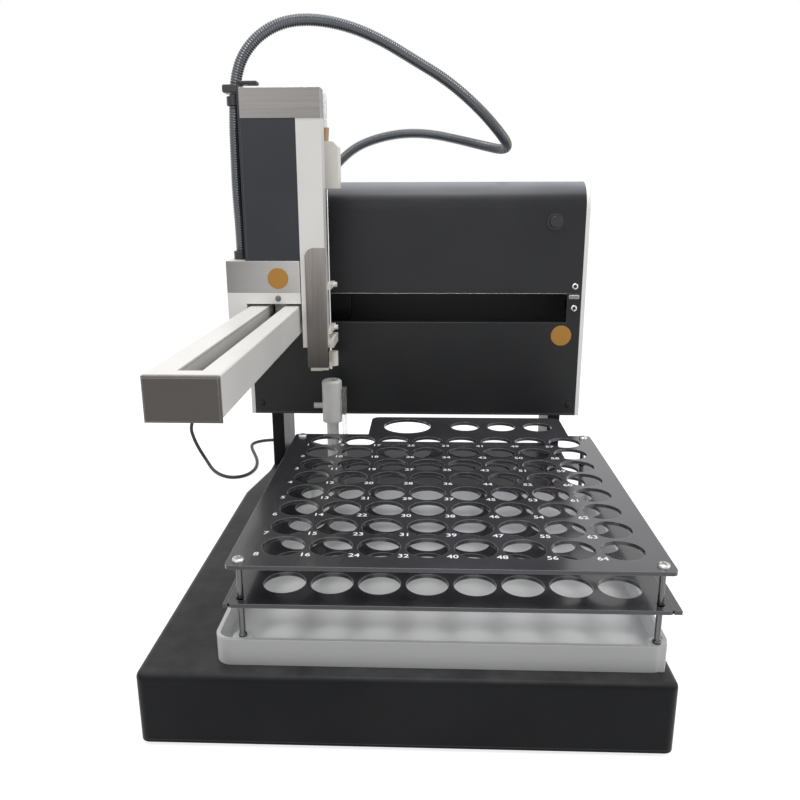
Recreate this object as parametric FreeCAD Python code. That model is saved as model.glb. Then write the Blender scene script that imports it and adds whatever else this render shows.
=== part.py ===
"""Cartesian autosampler: base, tube rack, rear drive cabinet, moving arm, needle tower and hose.

Millimetres. +X to the right, +Y to the back, +Z up, table at z = 0. The origin is at the bottom
centre of the object's box, leaving out the free lead and the free hose.
"""
import FreeCAD, Part
import os
from math import acos, cos, pi, sqrt, tan

os.makedirs("parts", exist_ok=True)

V = FreeCAD.Vector
X_DIR = V(1, 0, 0)
Y_DIR = V(0, 1, 0)
Z_DIR = V(0, 0, 1)

# Clearances
running_clearance = 0.05
seat_clearance = 0.3
screw_clearance = 0.2

# Modelling aids
same_place = 1e-6
past = 5.0
bend_share = 0.45

# Base
cover_depth = 335.0
base_height = 54.0
foot_height = 3.0
foot_radius = 11.0
foot_inset = 24.0
foot_side_inset = 38.0
base_plate_thickness = 2.0
base_wall = 2.0
base_edge_radius = 5.0
base_corner_radius = 7.0
plinth_inset = 14.5
plinth_taper_gap = 2.0
base_side_margin = 4.0

# Rack of tube holes
hole_count = 8
hole_pitch = 34.0
hole_diameter = 30.5
first_row_setback = 42.0
columns_offset = 32.5
plate_thickness = 3.0
top_plate_height = 77.6
middle_plate_height = 49.0
rack_left_margin = 34.5
rack_right_margin = 29.5
rack_front_margin = 31.0
rack_rear_margin = 22.6
rack_corner_radius = 4.0
tab_reach = 63.4
tab_left_inset = 75.0
tab_right_inset = 21.5
tab_corner_radius = 9.0
tab_row_setback = 52.5
bottle_hole_diameter = 50.0
bottle_hole_inset = 39.6
standard_hole_diameter = 30.0
standard_hole_pitch = 38.6
standard_count = 3
bottle_to_standard = 61.2
post_inset = 8.0
post_radius = 3.0
post_foot_radius = 4.5
screw_head_radius = 4.2
screw_head_height = 2.4
screw_shank_radius = 1.5
screw_length = 8.0

# Tray under the rack
tray_height = 20.0
tray_wall = 3.0
tray_floor = 3.0
tray_front_overhang = 2.6
tray_side_overhang = 12.0
tray_right_overhang = 0.5
tray_corner_radius = 12.0
tray_boss_radius = 7.0

# Cabinet on its pillars
cabinet_gap = 23.0
cabinet_clear_height = 80.0
cabinet_height = 250.0
cabinet_bend_radius = 28.0
cabinet_sheet = 1.5
end_plate_thickness = 4.0
chassis_thickness = 2.0
chassis_flange = 25.0
slot_bottom = 183.5
slot_height = 31.5
slot_end_margin = 15.0
slot_lip = 8.0
cabinet_screw_radius = 3.4
cabinet_screw_height = 1.8
upper_screw_rise = 7.5
lower_screw_rise = 12.0
end_screw_rise = 22.0
end_screw_drop = 40.0
pillar_width = 14.0
pillar_depth = 70.0
pillar_rear_gap = 8.0
pillar_side_inset = 11.0
pillar_wall = 2.5
pillar_flare = 6.0
pillar_flare_height = 15.0

# Button at the front of the cabinet
button_right_inset = 31.7
button_below_bend = 12.6
button_radius = 6.0
button_clearance = 0.1
button_barrel_radius = 7.2
button_bezel_radius = 8.4
button_edge_radius = 0.8
button_bezel_height = 1.2
button_travel = 2.0
button_length = 9.0
button_proud = 3.4
button_housing_length = 16.0
button_wall = 2.0

# X drive inside the cabinet
rail_plate_depth = 76.0
rail_plate_thickness = 4.0
rail_plate_top = 262.0
rail_plate_margin = 2.0
rail_ear_rise = 22.0
rail_ear_left = 22.0
rail_ear_right = 46.0
x_rail_height = 12.0
x_rail_depth = 10.0
x_rail_bottom = 222.0
x_rail_margin = 6.0
motor_rear_gap = 12.0
carriage_plate_thickness = 10.0
carriage_width = 85.4
carriage_bottom = 160.0
carriage_top = 246.0
carriage_arm_width = 20.0
carriage_arm_gap = 2.25
carriage_foot_thickness = 4.0
carriage_shoe_inset = 8.0
belt_width = 6.0
belt_thickness = 1.5
x_pulley_radius = 10.0
x_pulley_right_inset = 23.0
x_pulley_left_inset = 13.5
pulley_flange = 1.6
pulley_flange_thickness = 1.0
pulley_side_gap = 0.2
motor_shaft_radius = 2.5
motor_shaft_clearance = 0.5
motor_corner_radius = 4.0
x_motor_size = 42.0
x_motor_length = 38.0
x_motor_roof_gap = 17.5

# Arm with the Y drive
beam_width = 49.0
beam_height = 28.0
beam_bottom = 184.5
beam_overhang = 6.0
beam_wall = 1.8
beam_left_inset = 22.6
beam_slot_width = 16.0
beam_edge_radius = 1.5
beam_slot_offset = 2.5
cap_thickness = 2.0
cap_drop = 2.5
cap_top_gap = 0.7
beam_slot_front_inset = 13.0
y_rail_width = 9.0
y_rail_height = 6.0
y_rail_front_gap = 19.0
y_rail_rear_gap = 8.0
y_pulley_radius = 6.25
y_pulley_front_gap = 12.0
y_idler_stud_radius = 4.5
y_belt_lift = 10.0
y_motor_size = 40.0
y_motor_length = 34.0
y_motor_gap = 2.0
runner_width = 20.0
runner_length = 40.0
runner_rear_inset = 1.0
runner_floor_gap = 1.5
runner_height = 6.9
arm_width = 11.0
arm_length = 38.0
belt_clamp_length = 16.0

# Hose and its holders
hose_radius = 5.5
mast_width = 28.0
mast_thickness = 3.0
mast_rise = 19.5
mast_left_inset = 14.4
mast_rear_gap = 26.0
mast_slot_clearance = 6.0
gland_radius = 8.5
gland_length = 9.0
gland_nut_thickness = 4.0
gland_right_inset = 10.0
gland_rear_inset = 11.0
clip_clearance = 0.8
clip_wall = 1.2
clip_shift = 1.2
boot_wall = 2.2
clip_drop = 13.0
clip_height = 8.0
clip_strap = 10.0
hose_setback = 25.0
hose_housing_gap = 3.4

# Tower on the arm
needle_setback = 47.5
needle_inside_column = 2.4
block_width = 71.0
block_depth = 62.0
block_left_overhang = 20.1
block_top = 256.0
block_gap_over_beam = 2.5
block_cheek_bottom = 200.0
block_cheek_gap = 2.0
band_bottom = 225.5
band_thickness = 1.0
panel_width = 50.7
panel_depth = 15.0
tower_sheet = 1.5
column_gap = 0.9
column_width = 23.5
column_depth = 20.0
column_bottom = 172.0
tower_cap_bottom = 385.0
tower_cap_top = 411.0
cap_proud = 0.5
housing_width = 56.0
housing_left_gap = 2.0
left_sheet_rise = 7.0
left_sheet_tab_depth = 10.0
left_sheet_tab_setback = 0.0
guard_width = 20.0
guard_top = 268.4
guard_bottom = 152.0
guard_thickness = 1.2
guard_corner_radius = 9.0
guard_fold = 6.0
guard_left_inset = 4.4

# Needle drive
z_travel = 88.0
z_screw_radius = 3.0
z_screw_lead = 8.0
z_screw_from_left = 34.0
z_screw_setback = 37.0
z_motor_size = 31.0
z_motor_length = 30.0
screw_socket_depth = 6.0
nut_height = 20.0
nut_bottom = 345.0
nut_margin = 8.0
nut_depth = 14.0
holder_bottom = 323.0
holder_top = 367.0
holder_left = 9.0
holder_right = 13.0
holder_front = 9.5
holder_rear = 14.0
holder_chamfer = 5.0
needle_radius = 1.1
needle_bore_radius = 0.4
needle_bottom = 140.0
guide_rod_radius = 1.2
guide_rod_left = 3.2
guide_rod_rear = 8.0
fitting_radius = 4.0
fitting_tip_radius = 3.1
fitting_height = 13.0
sleeve_radius = 2.1
sleeve_bore_radius = 1.2
sleeve_height = 31.0
spine_width = 12.0
spine_thickness = 3.0
spine_bottom = 144.0
spine_top = 246.0
guide_heights = (226.0, 182.0)
guide_thickness = 5.0
foot_guide_bottom = 168.0
foot_guide_height = 9.0
guide_cap_bottom = 144.0
guide_cap_height = 15.0
guide_cap_radius = 5.5
guide_cap_offset = 2.0
knob_radius = 2.6
knob_length = 3.5
needle_clearance = 0.1
spine_right_gap = 5.5
guide_right_reach = 4.5
guide_rear_wall = 3.5
foot_guide_extra = 2.0
guide_rod_entry = 8.0

# Wash station behind the rack
wash_top = 128.5
wash_radius = 10.5
wash_bore_radius = 6.5
wash_shoulder = 83.0
wash_stem_radius = 6.3
wash_stem_bore_radius = 4.0
wash_stem_bore_bottom = 45.0
wash_dome_radius = 3.0
wash_foot_radius = 16.0
wash_foot_height = 3.0
wash_plate_top = 119.0
wash_plate_thickness = 4.0
wash_plate_depth = 14.0
nipple_radius = 3.0
nipple_length = 9.0
nipple_height = 100.0

# Lead to the rear inlet
inlet_left_inset = 40.0
inlet_height = 110.0
inlet_size = 16.0
inlet_depth = 14.0
inlet_flange = 3.0
inlet_proud = 2.0
inlet_pin_hole = 5.6
inlet_hole_depth = 11.0
lead_radius = 2.3
plug_radius = 5.4
plug_length = 26.0
plug_neck_radius = 3.6
plug_neck_length = 14.0
plug_barrel_radius = 2.7
plug_barrel_length = 9.0
plug_grip = 0.3
end_stub_length = 48.0
end_plug_length = 34.0
end_plug_barrel_length = 12.0
coil_turn_diameter = 50.0
coil_turns = 5.5
coil_columns = 3
coil_layers = 2
lead_floor_gap = 0.2
board_thickness = 1.6
board_width = 110.0
board_height = 70.0
board_standoff = 8.0
board_rise = 12.0
board_post_inset = 5.0
board_post_radius = 3.0
chip_count = 4
chip_pitch = 24.0
chip_size = 14.0
chip_rise = 20.0
chip_thickness = 3.0

# Derived places
base_top = foot_height + base_height
needle_depth = first_row_setback + (hole_count - 1) * hole_pitch + tab_row_setback
tower_setback = needle_depth - needle_setback
cabinet_setback = tower_setback + block_depth + cabinet_gap
rail_plate_setback = cabinet_setback + rail_plate_depth
base_depth = rail_plate_setback + rail_plate_thickness + x_motor_length + motor_rear_gap
pillar_setback = base_depth - pillar_rear_gap - pillar_depth
mast_height = carriage_top + mast_rise
mast_rear = base_depth + mast_rear_gap
front_y = -(mast_rear - beam_overhang) / 2
pulley_half = belt_width / 2 + pulley_side_gap
x_pulley_height = cabinet_clear_height + cabinet_height - cabinet_sheet - x_motor_roof_gap - x_motor_size / 2
x_travel = (hole_count - 1) * hole_pitch
y_travel = needle_depth - first_row_setback


def y_at(setback):
    """Y of a place that lies this far behind the front of the base."""
    return front_y + setback


def z_at(height):
    """Z of a place that lies this far above the top of the base."""
    return base_top + height


first_column_x = columns_offset - (hole_count - 1) * hole_pitch / 2
last_column_x = first_column_x + (hole_count - 1) * hole_pitch
first_row_y = y_at(first_row_setback)
last_row_y = first_row_y + (hole_count - 1) * hole_pitch
rack_left = first_column_x - rack_left_margin
rack_right = last_column_x + rack_right_margin
rack_front = first_row_y - rack_front_margin
rack_rear = last_row_y + rack_rear_margin
tab_left = rack_left + tab_left_inset
tab_right = rack_right - tab_right_inset
tab_rear = rack_rear + tab_reach
tab_row_y = last_row_y + tab_row_setback
probe_x = first_column_x
probe_y = tab_row_y
tower_left = probe_x + needle_inside_column - column_width - column_gap - block_width
beam_left = tower_left + block_left_overhang
half_width = beam_left_inset - beam_left
cabinet_front = y_at(cabinet_setback)
cabinet_rear = y_at(base_depth)
cabinet_bottom = z_at(cabinet_clear_height)
cabinet_top = cabinet_bottom + cabinet_height
slot_low = z_at(slot_bottom)
slot_high = slot_low + slot_height
inner_half = half_width - end_plate_thickness
base_half = half_width + base_side_margin
plinth_half = base_half - plinth_inset
button_z = cabinet_top - cabinet_bend_radius - button_below_bend
beam_right = beam_left + beam_width
beam_x = (beam_left + beam_right) / 2
beam_front = y_at(0) - beam_overhang
beam_low = z_at(beam_bottom)
beam_high = beam_low + beam_height
carriage_front = y_at(rail_plate_setback) - x_rail_depth - seat_clearance - carriage_plate_thickness
slot_x = beam_x + beam_slot_offset
mast_left = beam_left + mast_left_inset
mast_right = mast_left + mast_width
gland_x = mast_right - gland_right_inset
gland_y = y_at(mast_rear) - gland_rear_inset
tower_right = tower_left + block_width
tower_front = y_at(tower_setback)
tower_rear = tower_front + block_depth
column_left = tower_right + column_gap
column_right = column_left + column_width
panel_left = column_left - panel_width
housing_left = panel_left - housing_left_gap
housing_right = housing_left + housing_width
hose_x = housing_left - hose_radius - hose_housing_gap


def box(x0, x1, y0, y1, z0, z1):
    return Part.makeBox(x1 - x0, y1 - y0, z1 - z0, V(x0, y0, z0))


def rod(radius, start, end):
    """Round bar between two points."""
    axis = end - start
    return Part.makeCylinder(radius, axis.Length, start, axis)


def ring(outer, inner, start, end):
    return rod(outer, start, end).cut(rod(inner, start, end))


def rounded_slab(x0, x1, y0, y1, z0, z1, radius):
    """Slab whose four upright edges are rounded."""
    slab = box(x0, x1, y0, y1, z0, z1)
    return round_edges(slab, radius, upright)


def runs_along(edge, direction):
    """True for a straight edge that lies along a direction."""
    if not isinstance(edge.Curve, Part.Line):
        return False
    ends = [v.Point for v in edge.Vertexes]
    return (ends[1] - ends[0]).cross(direction).Length < same_place


def upright(edge):
    return runs_along(edge, Z_DIR)


def along_y(edge):
    return runs_along(edge, Y_DIR)


def round_edges(shape, radius, wanted):
    """Fillet every edge that the given test picks."""
    edges = [e for e in shape.Edges if wanted(e)]
    return shape.makeFillet(radius, edges)


def join(first, *others):
    shape = first
    for other in others:
        shape = shape.fuse(other)
    return shape.removeSplitter()


def prism(wire, direction):
    """Straight-sided solid over a closed outline."""
    return Part.makeFace([wire], "Part::FaceMakerBullseye").extrude(direction)


def save(name, *solids):
    shapes = []
    for solid in solids:
        shapes.extend(solid.Solids)
    for solid in shapes:
        if not solid.isValid():
            print("not valid:", name)
    shape = shapes[0] if len(shapes) == 1 else Part.makeCompound(shapes)
    shape.exportStep("parts/" + name + ".step")
    bounds = shape.optimalBoundingBox(False)
    print(f"{name}: {len(shapes)} solids, {shape.Volume / 1000:.1f} cm3, "
          f"x {bounds.XMin:.1f}..{bounds.XMax:.1f} y {bounds.YMin:.1f}..{bounds.YMax:.1f} "
          f"z {bounds.ZMin:.1f}..{bounds.ZMax:.1f}")


def base_slab(wall, z0, z1):
    """The base's outline as a slab, drawn inwards by a wall: wide in front, tapered towards the pillars."""
    wide, narrow = base_half - wall, plinth_half - wall
    front, rear = y_at(0) + wall, y_at(base_depth) - wall
    back, taper_end = y_at(cover_depth), y_at(pillar_setback) - plinth_taper_gap
    right = [V(wide, front, z0), V(wide, back, z0), V(narrow, taper_end, z0), V(narrow, rear, z0)]
    left = [V(-p.x, p.y, p.z) for p in reversed(right)]
    slab = prism(Part.makePolygon(right + left + right[:1]), V(0, 0, z1 - z0))

    def front_corner(edge):
        return upright(edge) and edge.Vertexes[0].Y < front + same_place
    return round_edges(slab, base_corner_radius - wall, front_corner)


def build_base():
    plate_low = foot_height
    plate_high = foot_height + base_plate_thickness
    front = y_at(0)
    back = y_at(cover_depth)
    rear = y_at(base_depth)
    save("base_plate", base_slab(0, plate_low, plate_high))

    outer = base_slab(0, plate_high, base_top)
    last_rounded = y_at(pillar_setback) - plinth_taper_gap + same_place

    def rim(edge):
        return all(abs(v.Z - base_top) < same_place and v.Y < last_rounded for v in edge.Vertexes)
    outer = round_edges(outer, base_edge_radius, rim)
    inner = base_slab(base_wall, plate_high - 1, base_top - base_wall)
    inner = inner.cut(box(-base_half, base_half, back - base_wall, back + base_wall, plate_low, base_top))
    shell = outer.cut(inner)
    save("base_cover", shell.common(box(-base_half, base_half, front, back, plate_high, base_top)))
    save("rear_plinth", shell.common(box(-base_half, base_half, back, rear, plate_high, base_top)))

    feet = []
    for x in (-base_half + foot_side_inset, base_half - foot_side_inset):
        for y in (front + foot_inset, y_at(base_depth / 2), rear - foot_inset):
            feet.append(rod(foot_radius, V(x, y, 0), V(x, y, foot_height)))
    save("feet", *feet)


def pillar(side, flare):
    """One upright tube under the cabinet, with its outer top edge flared by this much."""
    outer_x = half_width - pillar_side_inset
    inner_x = outer_x - pillar_width
    low, high = base_top, cabinet_bottom
    y0, y1 = y_at(pillar_setback), y_at(pillar_setback + pillar_depth)
    body = box(inner_x, outer_x, y0, y1, low, high)
    if flare:
        radius = (flare ** 2 + pillar_flare_height ** 2) / (2 * flare)
        half = pillar_flare_height / 2
        start = V(outer_x, y0, high - pillar_flare_height)
        middle = V(outer_x + radius - sqrt(radius ** 2 - half ** 2), y0, high - half)
        corners = [V(outer_x + flare, y0, high), V(inner_x, y0, high), V(inner_x, y0, low),
                   V(outer_x, y0, low), start]
        edges = [Part.Arc(start, middle, corners[0]).toShape()]
        edges += [Part.LineSegment(a, b).toShape() for a, b in zip(corners, corners[1:])]
        body = prism(Part.Wire(edges), V(0, y1 - y0, 0))
    body = body.cut(box(inner_x + pillar_wall, outer_x - pillar_wall, y0 + pillar_wall, y1 - pillar_wall,
                        low, high))
    if side < 0:
        body = body.mirror(V(0, 0, 0), X_DIR)
    return body


def cabinet_section(x0, x1, inset):
    """Prism of the cabinet's side outline, drawn inwards by a wall."""
    y0, y1 = cabinet_front + inset, cabinet_rear - inset
    z0, z1 = cabinet_bottom + inset, cabinet_top - inset
    body = box(x0, x1, y0, y1, z0, z1)
    radius = cabinet_bend_radius - inset

    def top_front(edge):
        return all(abs(v.Y - y0) < same_place and abs(v.Z - z1) < same_place for v in edge.Vertexes)
    return round_edges(body, radius, top_front)


def build_cabinet():
    save("pillars", pillar(-1, 0), pillar(1, pillar_flare))
    right_end = cabinet_section(inner_half, half_width, 0)
    left_end = cabinet_section(-half_width, -inner_half, 0)
    save("end_plates", left_end, right_end)

    sheet = cabinet_sheet
    slot_right = inner_half - slot_end_margin
    shell = cabinet_section(-inner_half, inner_half,
                            0).cut(cabinet_section(-inner_half - 1, inner_half + 1, sheet))
    rear_cut = cabinet_rear - sheet
    upper = shell.common(box(-inner_half, inner_half, cabinet_front - 1, rear_cut, slot_high,
                             cabinet_top + 1))
    upper_lip = box(-slot_right, slot_right, cabinet_front, cabinet_front + slot_lip, slot_high,
                    slot_high + sheet)
    bezel_x, bezel_z = inner_half - button_right_inset, button_z
    bezel_hole = rod(button_barrel_radius + screw_clearance, V(bezel_x, cabinet_front - 1, bezel_z),
                     V(bezel_x, cabinet_front + sheet + 1, bezel_z))
    save("upper_cover", join(upper, upper_lip).cut(bezel_hole))

    lower = shell.common(box(-inner_half, inner_half, cabinet_front - 1, cabinet_front + sheet,
                             cabinet_bottom + chassis_thickness, slot_high))
    lower = lower.cut(box(-slot_right, slot_right, cabinet_front - past, cabinet_front + past, slot_low,
                          slot_high + 1))
    lower_lip = box(-slot_right, slot_right, cabinet_front, cabinet_front + slot_lip, slot_low - sheet,
                    slot_low)
    save("lower_cover", join(lower, lower_lip))

    floor = box(-inner_half, inner_half, cabinet_front, cabinet_rear - sheet,
                cabinet_bottom, cabinet_bottom + chassis_thickness)
    chassis = floor
    for side in (-1, 1):
        x0, x1 = sorted((side * inner_half, side * (inner_half - sheet)))
        chassis = join(chassis, box(x0, x1, cabinet_front + 2 * sheet, cabinet_rear - 2 * sheet,
                                    cabinet_bottom, cabinet_bottom + chassis_flange))
    save("cabinet_chassis", chassis)

    panel = box(-inner_half, inner_half, cabinet_rear - sheet, cabinet_rear, cabinet_bottom, cabinet_top)
    arm_low = z_at(mast_height) - mast_thickness
    panel = panel.cut(box(mast_left - mast_slot_clearance,
                          mast_left + mast_width + x_travel + mast_slot_clearance,
                          cabinet_rear - past, cabinet_rear + past,
                          arm_low - mast_slot_clearance, arm_low + mast_thickness + mast_slot_clearance))
    inlet_x, inlet_z = -inner_half + inlet_left_inset, z_at(inlet_height)
    half_inlet = inlet_size / 2 + screw_clearance
    panel = panel.cut(box(inlet_x - half_inlet, inlet_x + half_inlet,
                          cabinet_rear - past, cabinet_rear + past,
                          inlet_z - half_inlet, inlet_z + half_inlet))
    save("back_panel", panel)

    half = inlet_size / 2
    body = box(inlet_x - half, inlet_x + half, cabinet_rear - inlet_depth, cabinet_rear,
               inlet_z - half, inlet_z + half)
    reach = half + inlet_flange
    rim = box(inlet_x - reach, inlet_x + reach, cabinet_rear, cabinet_rear + inlet_proud,
              inlet_z - reach, inlet_z + reach)
    hole = rod(inlet_pin_hole / 2, V(inlet_x, cabinet_rear - inlet_hole_depth, inlet_z),
               V(inlet_x, cabinet_rear + inlet_proud + 1, inlet_z))
    save("power_inlet", join(body, rim).cut(hole))

    heads = []
    radius, height = cabinet_screw_radius, cabinet_screw_height
    for side in (-1, 1):
        for z in (slot_high + upper_screw_rise, slot_low + slot_height / 2,
                  cabinet_bottom + lower_screw_rise):
            x = side * (inner_half - slot_end_margin / 2)
            heads.append(rod(radius, V(x, cabinet_front - height, z), V(x, cabinet_front, z)))
        for z in (cabinet_bottom + end_screw_rise, cabinet_top - end_screw_drop):
            for y in (cabinet_front + end_screw_drop, cabinet_rear - end_screw_rise):
                heads.append(rod(radius, V(side * half_width, y, z), V(side * (half_width + height), y, z)))
    save("cabinet_screws", *heads)


def build_button():
    x, z = inner_half - button_right_inset, button_z
    front = cabinet_front
    rim = rod(button_bezel_radius, V(x, front - button_bezel_height, z), V(x, front, z))
    barrel = rod(button_barrel_radius, V(x, front, z), V(x, front + button_housing_length, z))
    bore = rod(button_radius + button_clearance, V(x, front - button_bezel_height, z),
               V(x, front + button_housing_length - button_wall, z))
    save("button_housing", join(rim, barrel).cut(bore))
    start = V(x, front - button_proud, z)
    stop = V(x, front - button_proud + button_length, z)
    button = rod(button_radius, start, stop)

    def front_rim(edge):
        return edge.isClosed() and abs(edge.Vertexes[0].Y - start.y) < same_place
    save("push_button", round_edges(button, button_edge_radius, front_rim))


def build_x_drive():
    y0 = y_at(rail_plate_setback)
    y1 = y0 + rail_plate_thickness
    floor = cabinet_bottom + chassis_thickness
    left = -inner_half + cabinet_sheet + rail_plate_margin
    right = -left
    plate = box(left, right, y0, y1, floor, z_at(rail_plate_top))
    ear_top = z_at(x_pulley_height + rail_ear_rise)
    plate = join(plate, box(left, left + rail_ear_left, y0, y1, floor, ear_top),
                 box(right - rail_ear_right, right, y0, y1, floor, ear_top))
    pulley_z = z_at(x_pulley_height)
    motor_x = inner_half - x_pulley_right_inset
    idler_x = -inner_half + x_pulley_left_inset
    shaft_hole = rod(motor_shaft_radius + motor_shaft_clearance, V(motor_x, y0 - 1, pulley_z),
                     V(motor_x, y1 + 1, pulley_z))
    plate = plate.cut(shaft_hole)
    idler_pin = rod(motor_shaft_radius, V(idler_x, y0 - x_rail_depth, pulley_z), V(idler_x, y0, pulley_z))
    save("rail_plate", join(plate, idler_pin))

    rail = box(left + x_rail_margin, right - x_rail_margin, y0 - x_rail_depth, y0,
               z_at(x_rail_bottom), z_at(x_rail_bottom) + x_rail_height)
    save("x_rail", rail)

    half = x_motor_size / 2
    motor = box(motor_x - half, motor_x + half, y1, y1 + x_motor_length, pulley_z - half, pulley_z + half)
    save("x_motor", round_edges(motor, motor_corner_radius, along_y))

    belt_mid = y0 - x_rail_depth / 2
    drive = pulley(x_pulley_radius, V(motor_x, belt_mid, pulley_z), Y_DIR)
    shaft = rod(motor_shaft_radius, V(motor_x, belt_mid + belt_width / 2, pulley_z),
                V(motor_x, y1, pulley_z))
    save("x_drive_pulley", join(drive, shaft))
    idler = pulley(x_pulley_radius, V(idler_x, belt_mid, pulley_z), Y_DIR)
    pin_hole = rod(motor_shaft_radius + running_clearance, V(idler_x, belt_mid - x_rail_depth, pulley_z),
                   V(idler_x, belt_mid + x_rail_depth, pulley_z))
    save("x_idler_pulley", idler.cut(pin_hole))
    save("x_belt", belt(x_pulley_radius, V(idler_x, belt_mid, pulley_z), V(motor_x, belt_mid, pulley_z),
                        Y_DIR))

    board_y = cabinet_rear - cabinet_sheet - board_standoff - board_thickness
    x0 = -board_width / 2
    z0 = cabinet_bottom + chassis_thickness + board_rise
    board = box(x0, x0 + board_width, board_y, board_y + board_thickness, z0, z0 + board_height)
    for x in (x0 + board_post_inset, x0 + board_width - board_post_inset):
        for z in (z0 + board_post_inset, z0 + board_height - board_post_inset):
            board = join(board, rod(board_post_radius, V(x, board_y + board_thickness, z),
                                    V(x, cabinet_rear - cabinet_sheet, z)))
    for i in range(chip_count):
        chip_x = x0 + (board_width - (chip_count - 1) * chip_pitch - chip_size) / 2 + i * chip_pitch
        board = join(board, box(chip_x, chip_x + chip_size, board_y - chip_thickness, board_y,
                                z0 + chip_rise, z0 + chip_rise + chip_size))
    save("control_board", board)


def pulley(radius, centre, axis):
    """Belt pulley with two flanges, its belt face centred on a point."""
    half = pulley_half
    core = rod(radius - seat_clearance, centre - axis * half, centre + axis * half)
    for side in (-1, 1):
        inner = centre + axis * (side * half)
        outer = centre + axis * (side * (half + pulley_flange_thickness))
        core = join(core, rod(radius + pulley_flange, inner, outer))
    return core


def belt(radius, start, end, axis):
    """Closed belt round two equal pulleys."""
    along = (end - start).normalize()
    across = axis.cross(along)
    half = axis * (belt_width / 2)
    loops = []
    for r in (radius + belt_thickness, radius):
        a, b = start + across * r - half, end + across * r - half
        c, d = end - across * r - half, start - across * r - half
        wire = Part.Wire([Part.LineSegment(a, b).toShape(),
                          Part.Arc(b, end + along * r - half, c).toShape(),
                          Part.LineSegment(c, d).toShape(), Part.Arc(d, start - along * r - half,
                                                                     a).toShape()])
        loops.append(prism(wire, axis * belt_width))
    return loops[0].cut(loops[1])


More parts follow.
